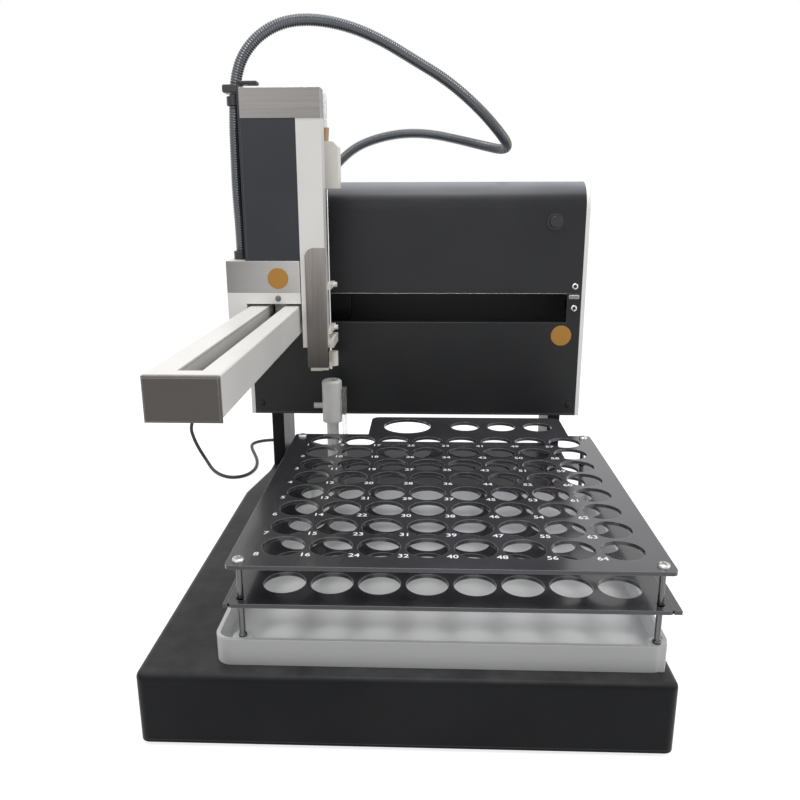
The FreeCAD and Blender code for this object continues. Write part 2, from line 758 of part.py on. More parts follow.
def build_arm():
    rear = carriage_front
    outer = box(beam_left, beam_right, beam_front + cap_thickness, rear, beam_low, beam_high)
    outer = round_edges(outer, beam_edge_radius, along_y)
    inner = box(beam_left + beam_wall, beam_right - beam_wall, beam_front - 1, rear + 1,
                beam_low + beam_wall, beam_high - beam_wall)
    slot = box(slot_x - beam_slot_width / 2, slot_x + beam_slot_width / 2,
               beam_front + beam_slot_front_inset, rear + 1, beam_high - beam_wall - 1, beam_high + 1)
    motor_y = rear - y_motor_gap - y_motor_size / 2
    shaft = rod(motor_shaft_radius + motor_shaft_clearance, V(slot_x, motor_y, beam_low - 1),
                V(slot_x, motor_y, beam_low + beam_wall + 1))
    channel = outer.cut(inner).cut(slot).cut(shaft)
    cap = box(beam_left, beam_right, beam_front, beam_front + cap_thickness, beam_low - cap_drop,
              beam_high - cap_top_gap)
    save("beam_end_cap", cap)

    floor = beam_low + beam_wall
    rail_front = beam_front + y_rail_front_gap
    rail = box(slot_x - y_rail_width / 2, slot_x + y_rail_width / 2, rail_front,
               motor_y - y_pulley_radius - y_rail_rear_gap, floor, floor + y_rail_height)
    save("y_rail", rail)

    belt_z = floor + y_belt_lift + belt_width / 2
    idler_y = beam_front + y_pulley_front_gap
    drive = pulley(y_pulley_radius, V(slot_x, motor_y, belt_z), Z_DIR)
    shaft = rod(motor_shaft_radius, V(slot_x, motor_y, beam_low), V(slot_x, motor_y, belt_z))
    save("y_drive_pulley", join(drive, shaft))
    idler = pulley(y_pulley_radius, V(slot_x, idler_y, belt_z), Z_DIR)
    pin_top = belt_z + belt_width / 2 + pulley_flange_thickness + 1
    hole = rod(motor_shaft_radius + running_clearance, V(slot_x, idler_y, floor - 1),
               V(slot_x, idler_y, pin_top + 1))
    save("y_idler_pulley", idler.cut(hole))
    stud_top = belt_z - pulley_half - pulley_flange_thickness - seat_clearance
    pin = join(rod(motor_shaft_radius, V(slot_x, idler_y, floor), V(slot_x, idler_y, pin_top)),
               rod(y_idler_stud_radius, V(slot_x, idler_y, floor), V(slot_x, idler_y, stud_top)))
    save("beam_channel", join(channel, pin))
    save("y_belt", belt(y_pulley_radius, V(slot_x, idler_y, belt_z), V(slot_x, motor_y, belt_z), Z_DIR))
    half = y_motor_size / 2
    motor = box(slot_x - half, slot_x + half, motor_y - half, motor_y + half, beam_low - y_motor_length,
                beam_low)
    save("y_motor", round_edges(motor, motor_corner_radius, upright))

    plate_y1 = carriage_front + carriage_plate_thickness
    low, high = z_at(carriage_bottom), z_at(carriage_top)
    carriage = box(beam_left, beam_left + carriage_width, carriage_front, plate_y1, low, high)
    rail_low = z_at(x_rail_bottom)
    rail_high = rail_low + x_rail_height
    inset = carriage_shoe_inset
    shoe = box(beam_left + inset, beam_left + carriage_width - inset, plate_y1,
               y_at(rail_plate_setback) - seat_clearance, rail_low - inset, rail_high + inset)
    gap = running_clearance
    shoe = shoe.cut(box(beam_left, beam_left + carriage_width, plate_y1, y_at(rail_plate_setback) + 1,
                        rail_low - gap, rail_high + gap))
    pulley_z = z_at(x_pulley_height)
    arm_top = pulley_z - x_pulley_radius - belt_thickness - running_clearance
    clamp_x0 = mast_right + carriage_arm_gap
    clamp_x1 = clamp_x0 + carriage_arm_width
    clamp = box(clamp_x0, clamp_x1, carriage_front, plate_y1, high - 1, arm_top)
    belt_rear = y_at(rail_plate_setback) - x_rail_depth / 2 + belt_width / 2
    foot = box(clamp_x0, clamp_x1, plate_y1 - 1, belt_rear, arm_top - carriage_foot_thickness, arm_top)
    save("x_carriage", join(carriage, shoe, clamp, foot))

    shelf_top = z_at(mast_height)
    rear_end = y_at(mast_rear)
    riser = box(mast_left, mast_right, carriage_front, carriage_front + mast_thickness, high, shelf_top)
    shelf = box(mast_left, mast_right, carriage_front, rear_end, shelf_top - mast_thickness, shelf_top)
    hole = rod(hose_radius + seat_clearance, V(gland_x, gland_y, shelf_top - 2 * mast_thickness),
               V(gland_x, gland_y, shelf_top + mast_thickness))
    save("hose_mast", join(riser, shelf).cut(hole))
    shelf_low = shelf_top - mast_thickness
    gland = join(rod(gland_radius, V(gland_x, gland_y, shelf_top),
                     V(gland_x, gland_y, shelf_top + gland_length)),
                 rod(hose_radius, V(gland_x, gland_y, shelf_low), V(gland_x, gland_y, shelf_top)),
                 rod(gland_radius, V(gland_x, gland_y, shelf_low - gland_nut_thickness),
                     V(gland_x, gland_y, shelf_low)))
    save("hose_gland", gland)


def build_tower():
    arm_gap = z_at(block_top)
    block_low = beam_high + block_gap_over_beam
    cheek_right = beam_left - block_cheek_gap
    block = box(tower_left, tower_right, tower_front, tower_rear, block_low, arm_gap)
    cheek = box(tower_left, cheek_right, tower_front, tower_rear, z_at(block_cheek_bottom), block_low + 1)
    floor = beam_low + beam_wall
    rail_high = floor + y_rail_height
    runner_y = tower_rear - runner_rear_inset - runner_length / 2
    runner_top = floor + runner_floor_gap + runner_height
    runner = box(slot_x - runner_width / 2, slot_x + runner_width / 2, runner_y - runner_length / 2,
                 runner_y + runner_length / 2, floor + runner_floor_gap, runner_top)
    gap = running_clearance
    runner = runner.cut(box(slot_x - y_rail_width / 2 - gap, slot_x + y_rail_width / 2 + gap,
                            runner_y - runner_length, runner_y + runner_length, floor, rail_high + gap))
    arm = box(slot_x - arm_width / 2, slot_x + arm_width / 2, runner_y - arm_length / 2,
              runner_y + arm_length / 2, runner_top - 1, block_low + 1)
    belt_low = floor + y_belt_lift
    clamp = box(slot_x, slot_x + y_pulley_radius - gap, runner_y - belt_clamp_length / 2,
                runner_y + belt_clamp_length / 2, belt_low, belt_low + belt_width)
    screw_x = housing_left + z_screw_from_left
    screw_y = y_at(tower_setback) + z_screw_setback
    socket = rod(z_screw_radius + running_clearance, V(screw_x, screw_y, arm_gap - screw_socket_depth),
                 V(screw_x, screw_y, arm_gap + 1))
    block = block.cut(box(tower_left - 1, tower_right + 1, tower_front - 1, tower_front + band_thickness,
                          z_at(band_bottom), arm_gap + 1))
    save("carriage_block", join(block, cheek, runner, arm, clamp).cut(socket))
    band = box(tower_left, tower_right, tower_front, tower_front + band_thickness, z_at(band_bottom),
               arm_gap)
    save("block_front_plate", band)

    sheet = tower_sheet
    cap_low, cap_high = z_at(tower_cap_bottom), z_at(tower_cap_top)
    panel = box(panel_left, column_left, tower_front, tower_front + panel_depth, arm_gap, cap_low)
    panel = panel.cut(box(panel_left + sheet, column_left - sheet, tower_front + sheet,
                          tower_front + panel_depth + 1,
                          arm_gap - 1, cap_low + 1))
    save("tower_front_panel", panel)

    column = box(column_left, column_right, tower_front, tower_front + column_depth, z_at(column_bottom),
                 cap_low)
    column = column.cut(box(column_left + sheet, column_right - sheet, tower_front + sheet,
                            tower_front + column_depth - sheet, z_at(column_bottom) + sheet, cap_low + 1))
    save("tower_side_column", column)

    cap = box(panel_left, column_right, tower_front - cap_proud, tower_front + column_depth, cap_low,
              cap_high)
    cap = cap.cut(box(panel_left + sheet, column_right - sheet, tower_front - cap_proud + sheet,
                      tower_front + column_depth - sheet, cap_low - 1, cap_high - sheet))
    save("tower_top_cap", cap)

    front = tower_front + column_depth
    shell = box(housing_left, housing_right, tower_front, tower_rear, arm_gap, cap_high)
    shell = shell.cut(box(housing_left + sheet, housing_right + 1, front + sheet, tower_rear - sheet,
                          arm_gap - 1, cap_high - sheet))
    shell = shell.cut(box(housing_left + housing_left_gap, housing_right + 1, tower_front - 1, front,
                          arm_gap - 1, cap_high + 1))
    tab_y = tower_front + left_sheet_tab_setback
    tab = box(housing_left, housing_left + sheet, tab_y, tab_y + left_sheet_tab_depth,
              cap_high - 1, cap_high + left_sheet_rise)
    save("tower_housing", join(shell, tab))

    half = z_motor_size / 2
    motor_high = cap_high - sheet
    motor = box(screw_x - half, screw_x + half, front + sheet, tower_rear - sheet,
                motor_high - z_motor_length, motor_high)
    save("z_motor", motor)
    screw = rod(z_screw_radius, V(screw_x, screw_y, arm_gap - screw_socket_depth + screw_clearance),
                V(screw_x, screw_y, motor_high - z_motor_length))
    save("z_screw", screw)
    guard_left = column_left + guard_left_inset
    guard_right = guard_left + guard_width
    low, high = z_at(guard_bottom), z_at(guard_top)
    guard = box(guard_left, guard_right, tower_front - guard_thickness, tower_front, low, high)

    def top_left(edge):
        ends = edge.Vertexes
        return all(abs(v.X - guard_left) < same_place and abs(v.Z - high) < same_place for v in ends)
    guard = round_edges(guard, guard_corner_radius, top_left)
    fold = box(guard_right - guard_thickness, guard_right, tower_front - guard_thickness,
               tower_front + guard_fold, low, z_at(column_bottom) - 1)
    save("probe_guard", join(guard, fold))

    build_guides(front)

    hose_y = tower_front + hose_setback
    ring_low = cap_high - clip_drop
    inner = hose_radius + clip_clearance
    ring_x = hose_x + clip_shift
    ring_high = ring_low + clip_height
    clip = ring(inner + clip_wall, inner, V(ring_x, hose_y, ring_low), V(ring_x, hose_y, ring_high))
    strap = box(ring_x + inner, housing_left, hose_y - clip_strap / 2, hose_y + clip_strap / 2,
                ring_low, ring_high)
    strap = strap.cut(rod(inner + clip_wall / 2, V(ring_x, hose_y, ring_low), V(ring_x, hose_y, ring_high)))
    boot = ring(hose_radius + boot_wall, hose_radius + seat_clearance, V(hose_x, hose_y, arm_gap),
                V(hose_x, hose_y, arm_gap + clip_height))
    save("hose_clips", join(clip, strap), boot)


def build_guides(front):
    """Fixed guides of the needle, on a spine behind the column, with the support rod and end cap."""
    spine_right = probe_x - spine_right_gap
    spine_left = spine_right - spine_width
    spine = box(spine_left, spine_right, front, front + spine_thickness, z_at(spine_bottom),
                z_at(spine_top))
    rod_x = probe_x - guide_rod_left
    rod_y = probe_y + guide_rod_rear
    below, above = z_at(0), z_at(tower_cap_top)
    needle_hole = rod(needle_radius + needle_clearance, V(probe_x, probe_y, below),
                      V(probe_x, probe_y, above))
    rod_hole = rod(guide_rod_radius, V(rod_x, rod_y, below), V(rod_x, rod_y, above))
    right = probe_x + guide_right_reach
    rear = rod_y + guide_rear_wall
    pieces = spine
    for bottom in guide_heights:
        z = z_at(bottom)
        pieces = join(pieces, box(spine_left, right, front, rear, z, z + guide_thickness))
        pieces = join(pieces, rod(knob_radius, V(right, probe_y, z + guide_thickness / 2),
                                  V(right + knob_length, probe_y, z + guide_thickness / 2)))
    z = z_at(foot_guide_bottom)
    foot = box(spine_left, right + foot_guide_extra, front, rear, z, z + foot_guide_height)
    guides = join(pieces, foot).cut(needle_hole).cut(rod_hole)
    z = z_at(guide_cap_bottom)
    centre_x = probe_x + guide_cap_offset
    cap = rod(guide_cap_radius, V(centre_x, probe_y, z), V(centre_x, probe_y, z + guide_cap_height))
    bridge = box(spine_left, probe_x, front + spine_thickness, probe_y, z, z + guide_thickness)
    save("needle_guides", guides, join(cap, bridge).cut(needle_hole))
    support = rod(guide_rod_radius, V(rod_x, rod_y, z_at(foot_guide_bottom)),
                  V(rod_x, rod_y, z_at(holder_bottom) + guide_rod_entry))
    save("guide_rod", support)


def build_probe():
    screw_x = housing_left + z_screw_from_left
    screw_y = y_at(tower_setback) + z_screw_setback
    low = z_at(nut_bottom)
    high = low + nut_height
    nut = box(screw_x - nut_margin, probe_x - holder_left, screw_y - nut_depth / 2, screw_y + nut_depth / 2,
              low, high)
    bore = rod(z_screw_radius + running_clearance, V(screw_x, screw_y, low - 1),
               V(screw_x, screw_y, high + 1))
    save("z_nut_block", nut.cut(bore))

    low, high = z_at(holder_bottom), z_at(holder_top)
    x0, x1 = probe_x - holder_left, probe_x + holder_right
    y0, y1 = probe_y - holder_front, probe_y + holder_rear
    holder = box(x0, x1, y0, y1, low, high)

    def top_right(edge):
        return all(abs(v.X - x1) < same_place and abs(v.Z - high) < same_place for v in edge.Vertexes)
    holder = holder.makeChamfer(holder_chamfer, [e for e in holder.Edges if top_right(e)])
    needle_hole = rod(needle_radius, V(probe_x, probe_y, low - 1), V(probe_x, probe_y, high + 1))
    rod_x = probe_x - guide_rod_left
    rod_y = probe_y + guide_rod_rear
    rod_hole = rod(guide_rod_radius + running_clearance, V(rod_x, rod_y, low - 1),
                   V(rod_x, rod_y, high + 1))
    save("probe_holder", holder.cut(needle_hole).cut(rod_hole))
    needle = ring(needle_radius, needle_bore_radius, V(probe_x, probe_y, z_at(needle_bottom)),
                  V(probe_x, probe_y, high))
    save("needle", needle)
    fitting = Part.makeCone(fitting_tip_radius, fitting_radius, fitting_height, V(probe_x, probe_y, high))
    fitting = fitting.cut(rod(needle_bore_radius, V(probe_x, probe_y, high),
                              V(probe_x, probe_y, high + fitting_height)))
    save("probe_fitting", fitting)
    start = high + fitting_height
    sleeve = ring(sleeve_radius, sleeve_bore_radius, V(probe_x, probe_y, start),
                  V(probe_x, probe_y, start + sleeve_height))
    save("probe_sleeve", sleeve)


def rack_outline(z0, z1, reach):
    main = rounded_slab(rack_left, rack_right, rack_front, rack_rear, z0, z1, rack_corner_radius)
    tab = rounded_slab(tab_left, tab_right, rack_rear - 2 * tab_corner_radius, tab_rear, z0, z1,
                       tab_corner_radius)
    return join(main, tab)


def tube_holes(z0, z1):
    """Cutters for the grid of tube holes and the holes of the rear tab."""
    cutters = []
    for column in range(hole_count):
        for row in range(hole_count):
            centre = V(first_column_x + column * hole_pitch, first_row_y + row * hole_pitch, z0)
            cutters.append(Part.makeCylinder(hole_diameter / 2, z1 - z0, centre))
    bottle_x = tab_left + bottle_hole_inset
    cutters.append(Part.makeCylinder(bottle_hole_diameter / 2, z1 - z0, V(bottle_x, tab_row_y, z0)))
    for i in range(standard_count):
        x = bottle_x + bottle_to_standard + i * standard_hole_pitch
        cutters.append(Part.makeCylinder(standard_hole_diameter / 2, z1 - z0, V(x, tab_row_y, z0)))
    return cutters


def post_places():
    return [(x, y) for x in (rack_left + post_inset, rack_right - post_inset)
            for y in (rack_front + post_inset, rack_rear - post_inset)]


def build_rack():
    top = z_at(top_plate_height)
    middle = z_at(middle_plate_height)
    tray_top = z_at(tray_height)
    plates = (("rack_top_plate", top, screw_shank_radius + screw_clearance),
              ("rack_middle_plate", middle, post_radius + screw_clearance))
    for name, high, post_hole in plates:
        plate = rack_outline(high - plate_thickness, high, tab_reach)
        cutters = tube_holes(high - plate_thickness - 1, high + 1)
        for x, y in post_places():
            cutters.append(rod(post_hole, V(x, y, high - plate_thickness - 1), V(x, y, high + 1)))
        save(name, plate.cut(Part.makeCompound(cutters)))
    posts, screws = [], []
    for x, y in post_places():
        foot = rod(post_foot_radius, V(x, y, tray_top), V(x, y, middle - plate_thickness))
        stem = rod(post_radius, V(x, y, middle - plate_thickness), V(x, y, top - plate_thickness))
        hole = rod(screw_shank_radius + screw_clearance, V(x, y, top - plate_thickness - screw_length),
                   V(x, y, top + 1))
        posts.append(join(foot, stem).cut(hole))
        head = rod(screw_head_radius, V(x, y, top), V(x, y, top + screw_head_height))
        shank = rod(screw_shank_radius, V(x, y, top - screw_length), V(x, y, top))
        screws.append(join(head, shank))
    save("rack_posts", *posts)
    save("rack_screws", *screws)

    x0, x1 = rack_left - tray_side_overhang, rack_right + tray_right_overhang
    y0, y1 = rack_front + tray_front_overhang, rack_rear
    tray = rounded_slab(x0, x1, y0, y1, base_top, tray_top, tray_corner_radius)
    inner = rounded_slab(x0 + tray_wall, x1 - tray_wall, y0 + tray_wall, y1 - tray_wall,
                         base_top + tray_floor, tray_top + 1, tray_corner_radius - tray_wall)
    bosses = []
    for x, y in post_places():
        boss = rod(tray_boss_radius, V(x, y, base_top), V(x, y, tray_top))
        bosses.append(boss.common(box(x0 + 1, x1 - 1, y0 + 1, y1 - 1, base_top, tray_top)))
    save("tray", join(tray.cut(inner), *bosses))


def build_wash_station():
    x, y = probe_x, probe_y
    top, shoulder = z_at(wash_top), z_at(wash_shoulder)
    body = rod(wash_radius, V(x, y, shoulder), V(x, y, top))

    def dome_rim(edge):
        return edge.isClosed() and abs(edge.Vertexes[0].Z - top) < same_place
    body = round_edges(body, wash_dome_radius, dome_rim)
    stem = rod(wash_stem_radius, V(x, y, base_top), V(x, y, shoulder))
    well = rod(wash_bore_radius, V(x, y, shoulder + 2), V(x, y, top + 1))
    deep = rod(wash_stem_bore_radius, V(x, y, z_at(wash_stem_bore_bottom)), V(x, y, shoulder + 3))
    nipple_z = z_at(nipple_height)
    nipple = rod(nipple_radius, V(x - wash_radius + 1, y, nipple_z),
                 V(x - wash_radius - nipple_length, y, nipple_z))
    save("wash_tube", join(body, stem, nipple).cut(well).cut(deep))
    foot = ring(wash_foot_radius, wash_stem_radius + running_clearance, V(x, y, base_top),
                V(x, y, base_top + wash_foot_height))
    foot = foot.common(box(x - wash_foot_radius, x + wash_foot_radius, rack_rear + 1, y + wash_foot_radius,
                           base_top, top))
    plate_high = z_at(wash_plate_top)
    arm_x = x + wash_radius + seat_clearance
    post = box(arm_x, arm_x + wash_plate_thickness, y - wash_plate_depth / 2, y + wash_plate_depth / 2,
               base_top, plate_high)
    save("wash_bracket", join(foot, post))


def cord_path(points):
    """Straight runs joined by tangent arcs, each as large as its two runs allow."""
    starts = [points[0]]
    edges = []
    smallest = None
    for before, corner, after in zip(points, points[1:], points[2:]):
        into, out = (corner - before), (after - corner)
        run = min(into.Length, out.Length)
        into.normalize()
        out.normalize()
        turn = acos(max(-1.0, min(1.0, into.dot(out))))
        reach = bend_share * run
        radius = reach / tan(turn / 2)
        smallest = radius if smallest is None else min(smallest, radius)
        first, last = corner - into * reach, corner + out * reach
        bisector = (out - into).normalize()
        centre = corner + bisector * (radius / cos(turn / 2))
        middle = centre - bisector * radius
        edges.append(Part.LineSegment(starts[-1], first).toShape())
        edges.append(Part.Arc(first, middle, last).toShape())
        starts.append(last)
    edges.append(Part.LineSegment(starts[-1], points[-1]).toShape())
    return Part.Wire(edges), smallest


def cord_tube(name, radius, points):
    path, smallest = cord_path(points)
    direction = points[1] - points[0]
    profile = Part.Wire([Part.Circle(points[0], direction, radius).toShape()])
    tube = path.makePipeShell([profile], True, False)
    expected = pi * radius ** 2 * path.Length
    print(f"{name}: length {path.Length:.0f}, smallest radius {smallest:.1f}, "
          f"volume ratio {tube.Volume / expected:.4f}")
    save(name, tube)
    return path.Length


def hose_points():
    """Hand-chosen route of the hose, from its gland on the mast to its boot on the tower."""
    route = [
        (-115, 255, 331), (-95, 255, 355), (-73, 255, 373), (-45, 255, 383), (-15, 255, 388), (17, 256, 387),
        (51, 256, 380), (80, 240, 372), (98, 210, 366), (102, 176, 368), (91, 144, 378), (67, 125, 401),
        (34, 116, 427), (-1, 108.5, 446), (-34, 98.5, 463.5), (-67, 84, 474), (-99.5, 67, 476),
        (-127, 57, 470), (-150.5, 51.5, 453.5), (-165.5, 50, 429),
    ]
    points = [V(gland_x, gland_y, z_at(mast_height) + gland_length),
              V(gland_x, gland_y, z_at(mast_height) + gland_length + 25.5)]
    points += [V(x, y, z_at(z)) for x, y, z in route]
    tower_y = tower_front + hose_setback
    points += [V(hose_x, tower_y, z_at(388)), V(hose_x - 0.8, tower_y + 0.5, z_at(351)),
               V(hose_x - 1.0, tower_y - 0.5, z_at(319)), V(hose_x, tower_y, z_at(287.5)),
               V(hose_x, tower_y, z_at(block_top))]
    return points


def lead_points():
    """Hand-chosen route of the lead, from its plug at the back to the start of its coil."""
    inlet_x = -inner_half + inlet_left_inset
    start_y = cabinet_rear + inlet_proud + plug_length + plug_neck_length
    z = z_at(inlet_height)
    floor = lead_radius + lead_floor_gap
    route = [
        (-152, 312, 166), (-190, 318, 158), (-235, 314, 140), (-275, 307, 115), (-303, 302, 88),
        (-317, 300, 62), (-313, 302, 42), (-307, 306, 24), (-299, 306, 10), (-291, 297, 3.5),
        (-281, 281, floor), (-267, 265, floor), (-250, 256, floor), (-232, 265, floor), (-225, 292, floor),
        (-230, 325, floor),
        (-241, 355, floor), (-252, 383, floor), (-256, 405, floor), (-240, 421, floor), (-206, 425, floor),
        (-170, 413, floor), (-138, 390, floor), (-111, 367, floor), (-85, 352, floor), (-55, 345, floor),
        (-25, 344, floor),
    ]
    points = [V(inlet_x, start_y, z), V(inlet_x, start_y + 14, z)]
    points += [V(x, y, height) for x, y, height in route]
    return points


def build_cords():
    hose_length = cord_tube("conduit_hose", hose_radius, hose_points())
    lead = lead_points()
    lead_length = cord_tube("power_lead", lead_radius, lead)
    inlet_x = -inner_half + inlet_left_inset
    z = z_at(inlet_height)
    start = cabinet_rear + inlet_proud
    barrel = rod(plug_barrel_radius, V(inlet_x, start - plug_barrel_length, z), V(inlet_x, start, z))
    body = rod(plug_radius, V(inlet_x, start, z), V(inlet_x, start + plug_length, z))
    neck = Part.makeCone(plug_neck_radius, lead_radius + plug_grip, plug_neck_length,
                         V(inlet_x, start + plug_length, z), Y_DIR)
    save("power_plug", join(barrel, body, neck))

    end = lead[-1]
    along = (lead[-1] - lead[-2]).normalize()
    side = V(-along.y, along.x, 0)
    outer = coil_turn_diameter / 2 + lead_radius * coil_columns
    inner = coil_turn_diameter / 2 - lead_radius * coil_columns
    outer_turn = outer - lead_radius
    centre = end - side * outer_turn
    centre = V(centre.x, centre.y, 0)
    height = coil_layers * 2 * lead_radius + lead_floor_gap
    save("lead_coil", ring(outer, inner, centre, centre + V(0, 0, height)))
    leave = V(centre.x, centre.y - outer_turn, plug_radius)
    neck = leave - V(end_stub_length, 0, 0)
    tail = neck - V(end_plug_length, 0, 0)
    save("lead_end_plug", join(rod(lead_radius, leave, neck), rod(plug_radius, neck, tail),
                               rod(plug_barrel_radius, tail, tail - V(end_plug_barrel_length, 0, 0))))
    coil_length = coil_turns * pi * coil_turn_diameter
    print(f"lengths: hose {hose_length:.0f}, lead {lead_length:.0f} loose and {coil_length:.0f} coiled")


def print_travels():
    """Where full travel leaves the needle, measured from the last hole of the rack."""
    tip = z_at(needle_bottom) - z_travel
    print(f"needle at full travel: {probe_x + x_travel - last_column_x:.1f}, "
          f"{probe_y - y_travel - first_row_y:.1f} off the last hole, tip at {tip:.1f}")
    print(f"screw turns {z_travel / z_screw_lead:.1f}, button left proud {button_proud - button_travel:.1f}")


build_base()
build_cabinet()
build_button()
build_x_drive()
build_arm()
build_tower()
build_probe()
build_rack()
build_wash_station()
build_cords()
print_travels()
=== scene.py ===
# %% [markdown]
# # Autosampler
# A bench machine that moves a needle over a rack of sample tubes. A black base carries the rack, a dark
# cabinet stands behind it on two pillars, and a white arm comes out of the cabinet's slot with a tower on it.
# The solids come packed from CAD. This script gives them their finishes and adds what CAD leaves out.

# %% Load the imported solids
from math import cos, pi, radians, sin

import bmesh
import bpy
from mathutils import Matrix, Vector


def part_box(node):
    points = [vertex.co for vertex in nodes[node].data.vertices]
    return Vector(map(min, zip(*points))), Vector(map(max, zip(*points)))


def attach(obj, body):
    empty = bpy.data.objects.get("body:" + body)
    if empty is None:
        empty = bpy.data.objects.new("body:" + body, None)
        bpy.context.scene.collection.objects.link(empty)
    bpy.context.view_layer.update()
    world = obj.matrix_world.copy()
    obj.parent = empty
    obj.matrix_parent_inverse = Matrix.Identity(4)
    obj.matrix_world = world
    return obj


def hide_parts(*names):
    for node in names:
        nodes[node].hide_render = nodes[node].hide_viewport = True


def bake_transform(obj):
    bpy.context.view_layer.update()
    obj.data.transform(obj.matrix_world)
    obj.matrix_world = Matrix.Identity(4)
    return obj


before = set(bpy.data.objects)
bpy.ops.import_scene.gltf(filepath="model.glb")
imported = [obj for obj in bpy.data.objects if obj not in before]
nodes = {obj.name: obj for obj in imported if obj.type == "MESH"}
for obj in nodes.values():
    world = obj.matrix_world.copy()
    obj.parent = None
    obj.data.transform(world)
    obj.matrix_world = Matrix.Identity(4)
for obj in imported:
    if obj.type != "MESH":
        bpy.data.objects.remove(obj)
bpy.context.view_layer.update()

mm = 0.001
scene = bpy.context.scene

# %% [markdown]
# ## Camera
# The photograph was taken from a little above the rack, almost straight on. The place, the turn and the lens
# come from a fit to the rack's grid of holes. A matrix built from three axes is used, because angles for a
# camera's rotation are easy to get wrong.

# %% Camera
camera_place = Vector((14.67, -708.1, 374.6)) * mm
turn, tip, roll = -0.0371, 0.264, -0.0028
forward = Vector((sin(turn) * cos(tip), cos(turn) * cos(tip), -sin(tip)))
level = Vector((cos(turn), -sin(turn), 0))
upward = level.cross(forward)
right = level * cos(roll) + upward * sin(roll)
top = upward * cos(roll) - level * sin(roll)

lens = bpy.data.cameras.new("camera")
lens.sensor_width = 36.0
lens.lens = 761.85 / 800 * lens.sensor_width
lens.clip_start = 0.01
camera = bpy.data.objects.new("camera", lens)
camera.matrix_world = Matrix.Translation(camera_place) @ Matrix((right, top, -forward)).transposed().to_4x4()
scene.collection.objects.link(camera)
scene.camera = camera
print("lens", round(lens.lens, 2), "mm")

# %% [markdown]
# ## Cords
# A hose carries the needle's tube and its wires from the arm's carriage to the tower, and a thin lead brings
# the power. Both follow the routes that the CAD tubes follow. A NURBS spline goes smoothly past its control
# points, which looks like a real cord, where straight runs with rounded corners look like bent wire.


# %% A smooth line through given points
def spline_curve(name, points):
    curve = bpy.data.curves.new(name, "CURVE")
    curve.dimensions = "3D"
    curve.resolution_u = 10
    spline = curve.splines.new("NURBS")
    spline.points.add(len(points) - 1)
    for place, point in zip(points, spline.points):
        point.co = (*place, 1.0)
    spline.order_u = 3
    spline.use_endpoint_u = True
    curve_object = bpy.data.objects.new(name, curve)
    scene.collection.objects.link(curve_object)
    return curve_object


def line_of(curve_object):
    """The points along a curve that has no bevel, in order."""
    bpy.context.view_layer.update()
    mesh = bpy.data.meshes.new_from_object(curve_object)
    return [vertex.co.copy() for vertex in mesh.vertices]


# %% [markdown]
# ### Hose
# The hose is a corrugated conduit: fine rings, a little over two millimetres apart, which catch the light one
# by one. A bump texture could suggest them, but then the outline stays smooth. So the tube is built ring by
# ring along the spline, with a smaller radius in each groove.

# %% Hose route
hose_radius = 5.5 * mm
hose_route = [Vector(place) * mm for place in (
    (-127, 255, 331.5), (-127, 255, 357), (-115, 255, 388), (-95, 255, 412), (-73, 255, 430),
    (-45, 255, 440), (-15, 255, 445), (17, 256, 444), (51, 256, 437), (80, 240, 429), (98, 210, 423),
    (102, 176, 425), (91, 144, 435), (67, 125, 458), (34, 116, 484), (-1, 108.5, 503), (-34, 98.5, 520.5),
    (-67, 84, 531), (-99.5, 67, 533), (-127, 57, 527), (-150.5, 51.5, 510.5), (-165.5, 50, 486),
    (-169.2, 50, 445), (-170, 50.5, 408), (-170.2, 49.5, 376), (-169.2, 50, 344.5), (-169.2, 50, 313),
)]


# %% Even steps along a line
def even_steps(line, step):
    """Places at equal distances along a line of points, each with the line's direction there."""
    lengths = [0.0]
    for before, after in zip(line, line[1:]):
        lengths.append(lengths[-1] + (after - before).length)
    count = round(lengths[-1] / step)
    places = []
    index = 0
    for number in range(count + 1):
        wanted = lengths[-1] * number / count
        while index < len(line) - 2 and lengths[index + 1] < wanted:
            index += 1
        share = (wanted - lengths[index]) / (lengths[index + 1] - lengths[index])
        places.append(line[index].lerp(line[index + 1], min(share, 1.0)))
    directions = [(places[min(i + 1, count)] - places[max(i - 1, 0)]).normalized() for i in range(count + 1)]
    return places, directions


# %% A tube, ring by ring
def tube_along(places, directions, radii, sides=20):
    """A tube with one ring per place. Each ring is turned as little as possible from the last one."""
    mesh = bmesh.new()
    across = directions[0].orthogonal().normalized()
    rings = []
    for place, direction, radius in zip(places, directions, radii):
        across = (across - direction * across.dot(direction)).normalized()
        other = direction.cross(across)
        angles = [2 * pi * side / sides for side in range(sides)]
        rings.append([mesh.verts.new(place + (across * cos(a) + other * sin(a)) * radius) for a in angles])
    for before, after in zip(rings, rings[1:]):
        for side in range(sides):
            following = (side + 1) % sides
            mesh.faces.new((before[side], before[following], after[following], after[side]))
    mesh.faces.new(list(reversed(rings[0])))
    mesh.faces.new(rings[-1])
    return mesh


def new_piece(name, mesh, smooth_angle=35):
    """Turns a bmesh into an object in the scene, smooth except at edges sharper than the angle."""
    data = bpy.data.meshes.new(name)
    bmesh.ops.recalc_face_normals(mesh, faces=mesh.faces)
    mesh.to_mesh(data)
    mesh.free()
    data.shade_smooth()
    data.set_sharp_from_angle(angle=radians(smooth_angle))
    piece = bpy.data.objects.new(name, data)
    scene.collection.objects.link(piece)
    return piece


